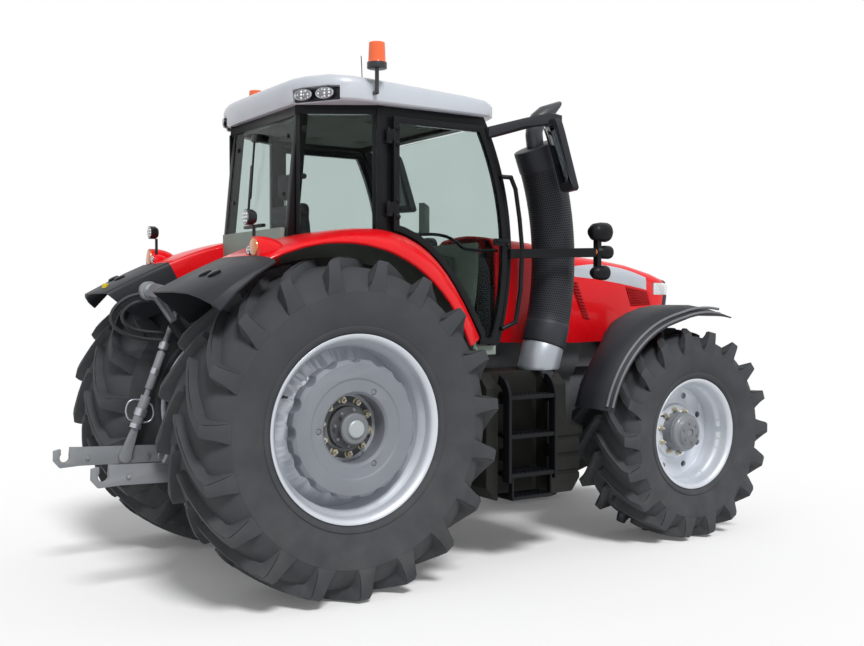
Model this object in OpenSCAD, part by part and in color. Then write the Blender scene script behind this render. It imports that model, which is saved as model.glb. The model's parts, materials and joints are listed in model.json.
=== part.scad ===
/* [Wheels] */
// Rear tyre radius at the tips of its lugs
rear_tyre_r = 1015; // [990:5:1030]
// Rear tyre width
rear_tyre_w = 710; // [680:5:730]
// Rear rim flange radius
rear_flange_r = 560; // [540:5:580]
// Rear rim width over the flanges
rear_rim_w = 604; // [580:2:620]
// Front tyre radius at the tips of its lugs
front_tyre_r = 780; // [765:5:790]
// Front tyre width
front_tyre_w = 590; // [570:5:600]
// Front rim flange radius
front_flange_r = 408; // [395:1:420]
// Front rim width over the flanges
front_rim_w = 490; // [480:2:500]
// Height of the lugs on a rear tyre
lug_h = 52; // [40:1:58]
// Lugs along each side of a rear tyre
rear_lugs = 19; // [16:1:22]
// Lugs along each side of a front tyre
front_lugs = 18; // [16:1:22]

/* [Layout] */
// Distance between the axles
wheelbase = 2890; // [2880:5:2920]
// Rear track, between tyre centres
rear_track = 1790; // [1780:2:1810]
// Front track, between tyre centres
front_track = 1810; // [1800:2:1820]
// Kingpin distance from the middle plane
kingpin_y = 700; // [690:1:705]

/* [Cab] */
// Half width of the cab over its side frames
cab_half = 800; // [790:1:810]
// Height of the cab floor
floor_z = 1460; // [1450:1:1470]
// Height of the cab frame's top, where the roof rests
cab_top_z = 3000; // [2980:1:3020]
// Radius of the bowed windscreen, seen from the side
screen_r = 1900; // [1885:1:1915]
// Thickness of the glass
glass_t = 8; // [6:1:10]
// Thickness of the doors
door_t = 40; // [36:1:44]
// Thickness of the roof
roof_h = 150; // [140:1:160]

/* [Bonnet] */
// Half width of the bonnet at the cab
bonnet_half = 400; // [390:1:405]
// Height of the bonnet's top at the cab
bonnet_top_z = 2255; // [2245:1:2265]
// Wall thickness of the bonnet
bonnet_wall = 22; // [18:1:26]

/* [Fenders] */
// Height of the rear fenders' crest
crest_z = 2220; // [2210:1:2230]
// Sheet thickness of the rear fenders
fender_t = 14; // [12:1:18]
// Radius of the front fenders' crown
front_fender_r = 955; // [945:1:960]

/* [Hitch] */
// Gap between the middle of a lower link and the rear tyre
link_gap = 110; // [104:1:114]
// Radius of the ball held by a lower link hook
hook_ball_r = 32; // [30:0.5:34]
// Radius of the drawbar pin bore
drawbar_pin_r = 16; // [14:0.5:18]
// Radius of the power take-off stub
pto_r = 22.2; // [20:0.1:24]

/* [Hidden] */
$fn = 64;
hook_tip_x = -1330;
rear_axle_x = -(wheelbase + front_tyre_r + hook_tip_x) / 2;
rear_y = rear_track / 2;
front_y = front_track / 2;
fx = wheelbase;
fz = front_tyre_r;
rz = rear_tyre_r;
run = 0.3;
screen_x = 1423;
arc_c = [screen_x - screen_r, 2081];
pillar_in_r = screen_r - 50;
pillar_out_r = screen_r + 10;
door_edge_r = pillar_in_r - 6;
// rear arch line in the side view, from the low front end over the crest to the rear
arch_mid = [0, rear_tyre_r];
arch_front = [[300, crest_z], [720, crest_z], [900, 1940], [1136, 1529]];
arch_rear = [[300, crest_z], [-100, crest_z], [-450, 2100], [-980, 1820]];
arch_lip_r = rear_tyre_r + 90;
// places along the arch where the cab's plan turns
turn_b = -0.05;
turn_rear = 0.365;
arch_us = concat([for (i = [10:-1:1]) -i / 10], [turn_b, 0, 0.1, 0.2, 0.3, turn_rear, 0.4, 0.5, 0.6, 0.7]);
b_pillar_x = arch_at(turn_b)[0];
cab_rear_x = arch_at(turn_rear)[0];
b_pillar_w = 95;
hinge_x = 430;
hinge_y = cab_half + 30;
hinge_pin_r = 8;
trumpet_end = rear_y - 195;
well_in = rear_y - rear_tyre_w / 2 - 70;
link_y = rear_y - rear_tyre_w / 2 - link_gap;
gear_half = link_y - 220;
arm_in = link_y - 114;
arm_out = link_y - 66;
rod_mid = link_y - 43;
cyl_mid = link_y - 166;
tank_x0 = rear_tyre_r + 95;
tank_x1 = fx - front_tyre_r - 180;
nose_x = fx + 440;
steer_arm = 200;
step_x0 = tank_x0 + 120;
step_x1 = step_x0 + 386;
axle_bar_r = 54;
rear_bead_r = rear_flange_r - 27;
front_bead_r = front_flange_r - 24;
rear_disc_y = 118;
pivot = [-290, 1712];
eye = [-494, 1774];
link_pivot = [-250, 700];
link_hook = [hook_tip_x + 68, 752];
rod_pin = [-881, 733];
cyl_base = [-270, 1170];
cyl_eye = [-728, 1832];
bonnet_hinge = [1640, 2100];
stack_c = [-150, 2050];
stack_r = 2000;

function bez3(a, b, c, d, t) =
    pow(1 - t, 3) * a + 3 * pow(1 - t, 2) * t * b + 3 * (1 - t) * t * t * c + t * t * t * d;
function bez2(a, b, c, t) = pow(1 - t, 2) * a + 2 * (1 - t) * t * b + t * t * c;
function arc_pts(c, r, a0, a1, n) =
    [for (i = [0:n]) c + r * [cos(a0 + (a1 - a0) * i / n), sin(a0 + (a1 - a0) * i / n)]];
function rev(l) = [for (i = [len(l) - 1:-1:0]) l[i]];
function flip_y(l) = [for (p = l) [p[0], -p[1]]];
function toward(p, c, d) = p + (c - p) * (d / norm(c - p));

function arch_at(u) = u < 0
    ? bez3(arch_front[0], arch_front[1], arch_front[2], arch_front[3], -u)
    : bez3(arch_rear[0], arch_rear[1], arch_rear[2], arch_rear[3], u);
// the arch line from one place to another, moved in by d
function arch_line(u0, u1, d) =
    [for (u = arch_us) if (u >= u0 && u <= u1) toward(arch_at(u), arch_mid, d)];

module extrude_y(y0, y1)
    translate([0, y1, 0])
        rotate([90, 0, 0])
            linear_extrude(y1 - y0)
                children();

module extrude_x(x0, x1)
    translate([x0, 0, 0])
        rotate([90, 0, 90])
            linear_extrude(x1 - x0)
                children();

module revolve_y()
    rotate([-90, 0, 0])
        rotate_extrude()
            children();

module rod_y(x, z, r, y0, y1)
    translate([x, y0, z])
        rotate([-90, 0, 0])
            cylinder(r = r, h = y1 - y0);

module rod_x(y, z, r, x0, x1)
    translate([x0, y, z])
        rotate([0, 90, 0])
            cylinder(r = r, h = x1 - x0);

module box(x0, x1, y0, y1, z0, z1)
    translate([x0, y0, z0])
        cube([x1 - x0, y1 - y0, z1 - z0]);

module right()
    mirror([0, 1, 0])
        children();

module both() {
    children();
    mirror([0, 1, 0])
        children();
}

// straight bars with round joints through a list of points
module tube(pts, r) {
    for (i = [0:len(pts) - 2]) {
        d = pts[i + 1] - pts[i];
        translate(pts[i])
            rotate([0, acos(d[2] / norm(d)), atan2(d[1], d[0])])
                cylinder(r = r, h = norm(d), $fn = 24);
    }
    if (len(pts) > 2)
        for (i = [1:len(pts) - 2])
            translate(pts[i])
                sphere(r = r * 1.06, $fn = 24);
}

// solid through closed sections, each a list of points
module loft(secs) {
    m = len(secs[0]);
    n = len(secs);
    pts = [for (s = secs) each s];
    sides = [for (i = [0:n - 2]) for (j = [0:m - 1])
        each [[i * m + j, (i + 1) * m + (j + 1) % m, i * m + (j + 1) % m],
            [i * m + j, (i + 1) * m + j, (i + 1) * m + (j + 1) % m]]];
    first = [for (j = [1:m - 2]) [0, j, j + 1]];
    last = [for (j = [1:m - 2]) [(n - 1) * m, (n - 1) * m + j + 1, (n - 1) * m + j]];
    polyhedron(points = pts, faces = concat(sides, first, last), convexity = 6);
}

// bent sheet: each section is an outer line and an inner line of equal length
module sheet(outers, inners) {
    k = len(outers[0]);
    m = 2 * k;
    n = len(outers);
    pts = [for (i = [0:n - 1]) each concat(outers[i], rev(inners[i]))];
    sides = [for (i = [0:n - 2]) for (j = [0:m - 1])
        each [[i * m + j, (i + 1) * m + (j + 1) % m, i * m + (j + 1) % m],
            [i * m + j, (i + 1) * m + j, (i + 1) * m + (j + 1) % m]]];
    first = [for (j = [0:k - 2]) each [[j, j + 1, m - 1 - j], [j + 1, m - 2 - j, m - 1 - j]]];
    b = (n - 1) * m;
    last = [for (j = [0:k - 2])
        each [[b + j, b + m - 1 - j, b + j + 1], [b + j + 1, b + m - 1 - j, b + m - 2 - j]]];
    polyhedron(points = pts, faces = concat(sides, first, last), convexity = 6);
}

module place()
    translate([rear_axle_x, 0, 0])
        children();

// point on a wheel about the y axis: radius, angle from the top towards the front, place across
function on_wheel(r, a, y) = [r * sin(a), y, r * cos(a)];
// ring of points at one place across a tyre, with four for each lug: foot, top, top, foot
function lug_ring(run, lugs, side) = [for (k = [0:4 * lugs - 1])
    let (i = side > 0 ? k : k + 4 * lugs - 2, j = i % 4, top = j == 1 || j == 2,
        a = (floor(i / 4) + (side > 0 ? 0 : 0.5)) * 360 / lugs + run[0], p = top ? run[1] : run[2])
    on_wheel(p[1], a + (j < 2 ? -1 : 1) * (top ? run[3] : run[4]), side * p[0])];

// tyre about the y axis as rings of points from bead to bead over a chevron of lugs
module tyre(r, w, flange_r, bead_r, rim_w, lugs) {
    n = 4 * lugs;
    m = 2 * lugs;
    last = m + 9 * n;
    step = 360 / n;
    deg = 180 / PI / r;
    base = r - lug_h;
    foot_r = flange_r + 0.58 * (r - flange_r);
    lag = 21;
    // turn of the lug, then its top and the floor beside it as [across, radius], then half widths
    runs = [[-lag, [w / 2, foot_r], [w / 2, foot_r], step / 2, 1.5 * step],
        [-0.95 * lag, [0.49 * w, r - 18], [0.45 * w, base - 40], 30 * deg, 52 * deg],
        [-0.58 * lag, [0.25 * w, r - 4], [0.25 * w, base - 6], 26 * deg, 46 * deg],
        [0, [0.035 * w, r], [0.035 * w, base], 24 * deg, 42 * deg]];
    outer = [for (q = runs) lug_ring(q, lugs, 1)];
    inner = [for (q = rev(runs)) lug_ring(q, lugs, -1)];
    middle = [for (k = [0:n - 1]) on_wheel(base, (k - 1.5) * step, 0)];
    beads = [for (s = [1, -1]) [for (k = [0:m - 1])
        on_wheel(bead_r / cos(step), (2 * k - 1) * step - lag, s * (rim_w / 2 - 24))]];
    pts = concat(beads[0], [for (q = outer) each q], middle, [for (q = inner) each q], beads[1]);
    tread = [for (s = [0:7]) for (k = [0:n - 1]) let (a = m + s * n + k, b = m + s * n + (k + 1) % n)
        each [[a, b, a + n], [b, b + n, a + n]]];
    walls = [for (e = [[0, m, 1], [last, m + 8 * n, 0]]) for (k = [0:m - 1])
        let (p = e[0] + k, q = e[0] + (k + 1) % m, f = e[1] + 2 * k, g = e[1] + (2 * k + 2) % n)
        for (t = [[p, f, f + 1], [p, f + 1, q], [f + 1, g, q]]) e[2] == 1 ? rev(t) : t];
    bore = [for (k = [0:m - 1]) let (a = last + k, b = last + (k + 1) % m, c = (k + 1) % m)
        each [[a, b, k], [b, c, k]]];
    polyhedron(points = pts, faces = concat(tread, walls, bore), convexity = 8);
}

// rim barrel about the y axis
module barrel(flange_r, bead_r, rim_w, well) {
    h = rim_w / 2;
    outer = [[flange_r, h], [flange_r, h - 10], [flange_r - 14, h - 14.7], [bead_r - run, h - 14.7],
        [bead_r - run, h - 70], [bead_r - well, h - 110]];
    inner = [[flange_r - 10, h], [flange_r - 26, h - 12], [bead_r - 14, h - 32], [bead_r - 14, h - 78],
        [bead_r - well - 14, h - 118]];
    revolve_y()
        polygon(concat(outer, rev(flip_y(outer)), flip_y(inner), rev(inner)));
}

module rear_tyre()
    translate([0, rear_y, rz])
        tyre(rear_tyre_r, rear_tyre_w, rear_flange_r, rear_bead_r, rear_rim_w, rear_lugs);

module front_tyre()
    translate([fx, front_y, fz])
        tyre(front_tyre_r, front_tyre_w, front_flange_r, front_bead_r, front_rim_w, front_lugs);

module rear_rim()
    translate([0, rear_y, rz]) {
        barrel(rear_flange_r, rear_bead_r, rear_rim_w, 34);
        d = rear_disc_y;
        revolve_y()
            polygon([[0, d], [330, d], [rear_bead_r - 40, 20], [rear_bead_r - 40, 44], [352, d + 22],
                [126, d + 22], [126, d + 66], [axle_bar_r, d + 66], [axle_bar_r, 280], [46, 288],
                [0, 288]]);
        rod_y(0, 0, axle_bar_r, trumpet_end - 110 - rear_y, d + 10);
        rod_y(0, 0, 120, trumpet_end + 1 - rear_y, d + 10);
    }

module wheel_weight()
    translate([0, rear_y, rz])
        difference() {
            revolve_y()
                polygon([[206, rear_disc_y + 22.2], [348, rear_disc_y + 22.2], [410, 190], [410, 262],
                    [388, 280], [300, 280], [290, 272], [222, 272], [206, 256]]);
            for (i = [0:15])
                rotate([0, i * 22.5, 0])
                    rod_y(452, 0, 62, 100, 300);
            for (i = [0:2])
                rotate([0, i * 120 + 60, 0])
                    rod_y(244, 0, 18, 240, 300);
        }

module front_rim()
    translate([fx, front_y, fz])
        difference() {
            union() {
                barrel(front_flange_r, front_bead_r, front_rim_w, 30);
                revolve_y()
                    polygon([[0, 2], [front_bead_r - 36, 2], [front_bead_r - 36, 24], [212, 24],
                        [196, 44], [146, 52], [140, 150], [126, 166], [112, 168], [100, 186], [0, 186]]);
                revolve_y()
                    polygon([[0, 851 - front_y], [180, 851 - front_y], [180, 10], [0, 10]]);
            }
            rod_y(0, 0, 60 + run, 850 - front_y - 1, 990 - front_y);
            for (i = [0:7])
                rotate([0, i * 45 + 22.5, 0])
                    rod_y(282, 0, 24, -20, 40);
        }

module knuckle() {
    arm_x = fx - steer_arm;
    difference() {
        union() {
            for (z = [fz - 181, fz + 131])
                translate([fx, 0, z]) {
                    translate([0, kingpin_y, 0])
                        cylinder(r = 76, h = 50);
                    box(-76, 76, kingpin_y, kingpin_y + 120, 0, 50);
                }
            box(fx - 76, fx + 76, kingpin_y + 86, kingpin_y + 120, fz - 181, fz + 181);
            translate([fx, kingpin_y, fz - 181])
                cylinder(r = 32, h = 362);
            rod_y(fx, fz, 140, kingpin_y + 110, 850);
            rod_y(fx, fz, 60, 840, 985);
            translate([0, 0, fz - 181])
                linear_extrude(44)
                    polygon([[fx, kingpin_y + 70], [fx, kingpin_y - 70], [arm_x + 6, kingpin_y - 38],
                        [arm_x - 34, kingpin_y - 18], [arm_x - 34, kingpin_y + 18],
                        [arm_x + 6, kingpin_y + 38]]);
            box(fx - 42, fx + 42, 535, kingpin_y, fz + 135, fz + 181);
            box(fx - 34, fx + 34, 535, 585, fz + 135, fz + 900);
            box(fx - 34, fx + 34, 535, 800, fz + 850, fz + 900);
            box(fx - 60, fx + 60, 790, 1000, fz + 850, fz + (front_fender_r - 10) * cos(4) - run);
        }
        translate([arm_x, kingpin_y, fz - 200])
            cylinder(r = 14 + run, h = 100);
    }
}

// inner edge of a front fender, drawn out at the rear to clear the bonnet on full lock
function front_fender_in(a) = kingpin_y - 10 + 120 * min(1, max(0, (a - 120) / 16));
// depth of its outer lip, fading towards the front tip
function front_lip(a) = min(1, 0.15 + 0.85 * (a - 66) / 34);
function front_fender_sec(a, d) = let (yi = front_fender_in(a), l = front_lip(a))
    [for (q = [[40, yi + d * 0.6], [20, yi + 32 + d * 0.6], [4, yi + 66 + d * 0.4], [0, yi + 100],
        [0, 1010 - d * 0.4], [10 * l, 1054 - d * 0.5], [32 * l, 1096 - d * 0.7],
        [66 * l, 1132 - d * 0.8], [100 * l, 1158 - d]])
        let (r = front_fender_r - q[0] - d) [fx + r * cos(a), q[1], fz + r * sin(a)]];

module front_fender() {
    turns = concat([66, 70], [for (a = [78:8:166]) a]);
    sheet([for (a = turns) front_fender_sec(a, 0)], [for (a = turns) front_fender_sec(a, 10)]);
}

module tie_rod() {
    rz0 = fz - 215;
    rod_y(fx - steer_arm, rz0, 20, -kingpin_y, kingpin_y);
    both()
        translate([fx - steer_arm, kingpin_y, 0]) {
            translate([0, 0, rz0 - 24])
                cylinder(r = 32, h = 56.5);
            translate([0, 0, rz0])
                cylinder(r = 14, h = 74);
        }
}

module transmission() {
    difference() {
        union() {
            extrude_y(-gear_half, gear_half)
                polygon([[-330, 640], [-330, 1330], [-120, 1385], [500, 1385], [900, 1300], [1560, 1250],
                    [1560, 600], [900, 560], [300, 520], [-200, 520]]);
            both() {
                box(1190, 1280, gear_half - 10, 380, 1180, floor_z - 60);
                rod_y(link_pivot[0], link_pivot[1], 55, gear_half - 10, link_y - 42);
                rod_y(link_pivot[0], link_pivot[1], 22, gear_half - 10, link_y + 40);
                rod_y(cyl_base[0], cyl_base[1], 18, gear_half - 10, cyl_mid + 50);
                box(-460, -320, 34, 60, 1150, 1290);
            }
            box(-340, -200, -gear_half, gear_half, 950, 1050);
            extrude_y(5 - gear_half, gear_half - 5)
                polygon([[-330, 1310], [-420, 1600], pivot + [-120, 20], pivot + [-90, 90], pivot + [60, 96],
                    pivot + [134, 20], [pivot[0] + 134, 1340]]);
            rod_x(0, 740, pto_r, -470, -300);
            rod_x(0, 740, 48, -372, -300);
        }
        rod_y(pivot[0], pivot[1], 46 + run, -300, 300);
        rod_y(-415, 1220, drawbar_pin_r, -80, 80);
    }
}

module rear_axle()
    both()
        difference() {
            union() {
                rod_y(0, rz, 190, gear_half + run, link_y - 30);
                rod_y(0, rz, 140, link_y - 40, trumpet_end);
                rod_y(0, rz, 175, trumpet_end - 60, trumpet_end);
                box(-60, 60, link_y - 100, link_y, rz, floor_z - 60);
            }
            rod_y(0, rz, axle_bar_r + run, trumpet_end - 120, trumpet_end + 10);
        }

module engine() {
    extrude_x(1560, fx - 390)
        polygon([[-170, 640], [170, 640], [170, 1150], [240, 1200], [290, 1300], [290, 1880],
            [-290, 1880], [-290, 1300], [-240, 1200], [-170, 1150]]);
    box(fx - 400, fx - 130, -240, 240, 1240, 1800);
    extrude_x(fx - 130, fx + 370)
        polygon([[-160, 1240], [160, 1240], [270, 1400], [270, 1780], [-270, 1780], [-270, 1400]]);
}

module front_support() {
    difference() {
        union() {
            extrude_y(-165, 165)
                polygon([[fx - 390, 700], [fx - 190, 700], [fx - 190, 935], [fx + 190, 935], [fx + 190, 700],
                    [fx + 510, 700], [fx + 590, 800], [fx + 590, 1240], [fx - 390, 1240]]);
            box(fx + 580, fx + 750, -110, 110, 780, 960);
        }
        box(fx + 650, fx + 760, -120, 120, 835, 905);
        translate([fx + 705, 0, 700])
            cylinder(r = drawbar_pin_r, h = 400);
    }
}

module front_axle()
    difference() {
        union() {
            box(fx - 190, fx + 190, -150, 150, fz - 110, fz + 130);
            both() {
                box(fx - 74, fx + 74, 140, kingpin_y - 30, fz - 90, fz + 90);
                translate([fx, kingpin_y, fz - 130])
                    cylinder(r = 75, h = 260);
            }
        }
        both()
            translate([fx, kingpin_y, fz - 200])
                cylinder(r = 32 + run, h = 400);
    }

module hitch_frame()
    difference() {
        union() {
            box(-390, -330 - run, -180, 180, 430, 940);
            box(-560, -380, -55, 55, 440, 560);
            translate([-560, 0, 440])
                cylinder(r = 55, h = 120);
            both()
                box(-480, -380, 110, 180, 440, 620);
        }
        rod_x(0, 740, 110, -500, -300);
        box(-640, -490, -70, 70, 465, 535);
        translate([-560, 0, 400])
            cylinder(r = drawbar_pin_r, h = 200);
    }

module tank() {
    x0 = tank_x0;
    x1 = tank_x1;
    difference() {
        extrude_y(link_y, 950)
            polygon([[x0, 1280], [x1 - 150, 1280], [x1 - 130, 1240], [x1 - 130, 960], [x1 - 90, 900],
                [x1, 880], [x1, 520], [x1 - 70, 430], [x0 + 80, 430], [x0, 520]]);
        translate([x0 - 100, 950, 1200])
            rotate([45, 0, 0])
                box(0, 1100, -10, 200, -10, 200);
        box(step_x0 - 20, step_x1 + 20, 820, 960, 400, 1300);
        for (z = [560, 680, 800])
            box(step_x1 + 60, x1 + 10, 938, 960, z, z + 24);
    }
    for (x = [x0 + 70, x0 + 360])
        box(x, x + 80, gear_half, link_y + 10, 700, 820);
}

module step_set() {
    for (x = [step_x0 - 14, step_x1 - 8]) {
        extrude_x(x, x + 22)
            polygon(concat([[990, 560], [1060, 560]],
                arc_pts([900, 1120], 160, 0, 72, 6), arc_pts([900, 1120], 96, 72, 0, 6)));
        for (z = [700, 1080])
            box(x, x + 22, 950, 1000, z, z + 80);
    }
    for (z = [590, 850, 1110]) {
        box(step_x0, step_x1, 956, 1056, z, z + 26);
        box(step_x0 + 18, step_x1 - 22, 840, 960, z, z + 26);
    }
    for (x = [step_x0 + 20, step_x1 - 38])
        box(x, x + 14, 1010, 1050, 450, 600);
    box(step_x0 + 18, step_x1 - 22, 880, 1056, 440, 462);
}

module screen_band(r0, r1, z0, z1, y0, y1)
    intersection() {
        difference() {
            rod_y(arc_c[0], arc_c[1], r1, y0, y1, $fn = 360);
            rod_y(arc_c[0], arc_c[1], r0, y0 - 10, y1 + 10, $fn = 360);
        }
        box(600, 1800, y0 - 1, y1 + 1, z0, z1);
    }

module cab_plan(z0, z1, half)
    translate([0, 0, z0])
        linear_extrude(z1 - z0)
            polygon([[2000, -half], [2000, half], [b_pillar_x, half], [cab_rear_x, well_in + 30],
                [cab_rear_x, -well_in - 30],
                [b_pillar_x, -half]]);

module cab_floor() {
    top = arch_line(-1, 0.5, 0);
    low = arch_line(-1, 0.5, fender_t);
    translate([0, 0, floor_z - 60])
        linear_extrude(60)
            polygon([[-150, -well_in], [1080, -well_in], [1136, -cab_half], [1300, -cab_half],
                [1300, cab_half], [1136, cab_half], [1080, well_in], [-150, well_in]]);
    both() {
        intersection() {
            extrude_y(well_in - 30, cab_half - 2)
                polygon(concat(top, rev(low)));
            cab_plan(1400, 2400, cab_half - 2);
        }
        intersection() {
            extrude_y(well_in - 30, well_in)
                polygon(concat(arch_line(-1, 0.5, 4), [[-150, floor_z - 30], [1120, floor_z - 30]]));
            box(-150, 1100, well_in - 70, well_in + 30, floor_z - 40, 2300);
        }
        extrude_y(well_in - 30, cab_half - 2)
            polygon([[1112, floor_z - 20], [1136, floor_z - 20], [1136, 1534], [1118, 1534]]);
    }
    box(-150, -120, -well_in, well_in, floor_z - 40, 2229.7);
    screen_band(screen_r - 30, screen_r, floor_z - 20, 2180, -430, 430);
}

module cab_frame() {
    difference() {
        union() {
            both() {
                screen_band(pillar_in_r, pillar_out_r, floor_z, cab_top_z, cab_half - 50, cab_half);
                box(b_pillar_x, b_pillar_x + b_pillar_w, cab_half - 60, cab_half, 2000, cab_top_z);
                box(b_pillar_x, screen_x - 243, cab_half - 60, cab_half, cab_top_z - 60, cab_top_z);
                translate([0, 0, cab_top_z - 60])
                    linear_extrude(60)
                        polygon([[b_pillar_x + 20, cab_half], [b_pillar_x + 20, cab_half - 60],
                            [-36, 470], [-70, 516]]);
                loft([for (t = [0, 1]) let (x = -128 + 84 * t, z = 2160 + (cab_top_z - 2160) * t)
                    [[x, 470, z], [x + 70, 470, z], [x + 70, 520, z], [x, 520, z]]]);
            }
            box(screen_x - 313, screen_x - 233, 50 - cab_half, cab_half - 50, cab_top_z - 60, cab_top_z);
            box(-54, 20, -516, 516, cab_top_z - 60, cab_top_z);
        }
        extrude_y(-2000, 2000)
            polygon(concat(arch_line(-1, 0.5, -run), [[-200, 1500], [1000, 1500]]));
    }
    both()
        for (z = [2300, 2760]) {
            box(hinge_x - 18, hinge_x + 18, cab_half - 5, hinge_y + 16, z, z + 20);
            translate([hinge_x, hinge_y, z])
                cylinder(r = hinge_pin_r, h = 100, $fn = 24);
        }
}

module windscreen()
    difference() {
        screen_band(screen_r, screen_r + glass_t, floor_z, cab_top_z - 60, 50 - cab_half, cab_half - 50);
        box(1000, 2000, -430, 430, 1000, 2180);
    }

module cab_glass() {
    loft([for (t = [0, 1]) let (x = -120 + 74 * t, z = 2230 + (cab_top_z - 60 - 2230) * t)
        [[x, -470, z], [x + glass_t, -470, z], [x + glass_t, 470, z], [x, 470, z]]]);
    both()
        difference() {
            translate([0, 0, 2150])
                linear_extrude(cab_top_z - 60 - 2150)
                    polygon([[b_pillar_x, cab_half - 4], [b_pillar_x, cab_half - 14], [-60, 526],
                        [-70, 534]]);
            extrude_y(0, 1000)
                polygon(concat(arch_line(-1, 0.5, -run), [[-300, 1500], [1000, 1500]]));
        }
}

function roof_plan(s, z) = let (half = [[1345, 300], [1330, 640], [1290, 770], [1200, 840], [1050, 860],
        [300, 870], [160, 862], [20, 800], [-70, 640], [-100, 500], [-105, 300]], c = 560)
    [for (p = concat(half, flip_y(rev(half))))
        [c + (p[0] - c) * s, p[1] * s,
            z - (z > cab_top_z + 1 ? 0.04 * (p[0] - c) * (z - cab_top_z) / roof_h : 0)]];

// places a piece on the flat cut across a rear corner of the roof, looking out along +y
module roof_corner()
    translate([15, 666, cab_top_z])
        rotate([0, 0, 58.7])
            children();

module roof()
    difference() {
        loft([for (q = [[0.985, 0], [1, 0.08], [1, 0.66], [0.985, 0.85], [0.95, 0.95], [0.6, 1]])
            roof_plan(q[0], cab_top_z + q[1] * roof_h)]);
        both()
            roof_corner()
                box(-172, 172, 0, 200, -10, 88);
    }

function oval(a, b) = [for (t = [0:15:345]) [a * cos(t), b * sin(t)]];

module work_lamps()
    both() {
        roof_corner() {
            box(-160, 160, 0.3, 16, 6, 82);
            for (x = [-78, 78])
                translate([x, 12, 44])
                    rotate([-90, 0, 0])
                        linear_extrude(38)
                            polygon(oval(58, 32));
        }
        difference() {
            union() {
                box(-530, -436, cab_half + 14, rear_y + 100, 2030, 2142);
                translate([-500, cab_half + 50, 2100])
                    cylinder(r = 11, h = 110, $fn = 24);
                rod_x(cab_half + 50, 2252, 46, -552, -488);
            }
            extrude_y(cab_half, rear_y + 200)
                polygon(concat(arch_line(0.5, 0.7, -run), [[-700, 1900], [-250, 1900]]));
        }
    }

module beacons()
    both() {
        tube([[300, 870 + run, cab_top_z + 55], [300, 905, cab_top_z + 55], [300, 905, cab_top_z + 200]], 13);
        translate([300, 905, cab_top_z + 200]) {
            cylinder(r = 62, h = 40);
            cylinder(r1 = 56, r2 = 50, h = 160);
        }
    }

function fender_out(u) = rear_y + 155 + (u < 0 ? 120 * u : 0);
function fender_in(x) = let (t = (x - cab_rear_x) / (b_pillar_x - cab_rear_x))
    t > 1 ? cab_half + 2 : t > -0.01 ? well_in + 32 + (cab_half - well_in - 30) * t : well_in + 2;
// section across the arch: places across with their share of the lip's depth
function arch_sec(u, d, runs) = let (p = arch_at(u), lip = norm(p - arch_mid) - arch_lip_r)
    [for (q = runs) let (w = toward(p, arch_mid, q[1] * lip + d))
        [w[0], q[0] - (q[1] > 0.6 ? d * 0.6 : 0), w[1]]];
function fender_sec(u, d) = let (yo = fender_out(u), yi = cab_half + 6)
    arch_sec(u, d, [[fender_in(arch_at(u)[0]), 0], [yi, 0], [yi + (yo - cab_half) * 0.4, 0.12],
        [yi + (yo - cab_half) * 0.7, 0.35], [yo - 10, 0.7], [yo, 1]]);

module rear_fenders()
    both()
        sheet([for (u = arch_us) fender_sec(u, 0)], [for (u = arch_us) fender_sec(u, fender_t)]);

function ext_sec(u, d) =
    arch_sec(u, d, [[well_in + 2, 0], [cab_half, 0], [rear_y + 105, 0.08], [rear_y + 205, 0.3],
        [rear_y + 285, 0.65], [rear_y + 305, 1]]);

module fender_extensions()
    both()
        sheet([for (i = [0:3]) ext_sec(0.7003 + i * 0.0999, 0)],
            [for (i = [0:3]) ext_sec(0.7003 + i * 0.0999, fender_t)]);

// round sections on the exhaust's line: x, z, lean from upright, half size along the lean and across
function stack_sec(q) = [for (t = [0:15:345])
    [q[0] + q[3] * cos(t) * cos(q[2]), 750 + q[4] * sin(t), q[1] + q[3] * cos(t) * sin(q[2])]];
// the same on the bow of the shield, at an angle of its arc
function bow_sec(a, r) = stack_sec([stack_c[0] + stack_r * cos(a), stack_c[1] + stack_r * sin(a), a, r, r]);

module exhaust_shield()
    loft([for (q = [[-17.46, 150], [-17.2, 158], [-13, 158], [-12.8, 153], [-6, 153], [0, 153], [6, 153],
        [12, 153], [18.8, 153], [19, 158], [23.4, 158], [23.6, 150]])
        bow_sec(q[0], q[1])]);

module exhaust_pipe() {
    loft(concat([stack_sec([1712, 1280 + run, 0, 144, 144]), stack_sec([1714, 1300, -4, 150, 150])],
        [bow_sec(-17.47, 148)]));
    loft(concat([bow_sec(23.61, 62)], [for (q = [[1672, 2940, 12, 62, 62], [1686, 3000, -12, 66, 66],
        [1716, 3042, -34, 66, 66], [1772, 3084, -54, 64, 66], [1868, 3145, -121, 51, 64]])
        stack_sec(q)]));
}

module seat() {
    box(180, 560, -200, 200, floor_z, 1790);
    box(120, 620, -250, 250, 1780, 1920);
    extrude_y(-240, 240)
        polygon([[130, 1910], [250, 1910], [190, 2440], [90, 2440]]);
    extrude_y(-140, 140)
        polygon([[95, 2430], [185, 2430], [165, 2640], [95, 2640]]);
}

module steering_column() {
    extrude_y(-120, 120)
        polygon([[1080, floor_z], [1240, floor_z], [1330, 1940], [1110, 1940]]);
    extrude_y(-200, 200)
        polygon([[1060, 1930], [1366, 1930], [1376, 2080], [1120, 2120]]);
    translate([1090, 0, 2000])
        rotate([0, -35, 0]) {
            translate([0, 0, -30])
                cylinder(r = 34, h = 210, $fn = 32);
            translate([0, 0, 170]) {
                rotate_extrude()
                    translate([195, 0])
                        circle(r = 16, $fn = 24);
                cylinder(r = 60, h = 20, $fn = 32);
                for (a = [60, 180, 300])
                    rotate([0, 0, a])
                        box(0, 190, -20, 20, -6, 8);
            }
        }
}

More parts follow.
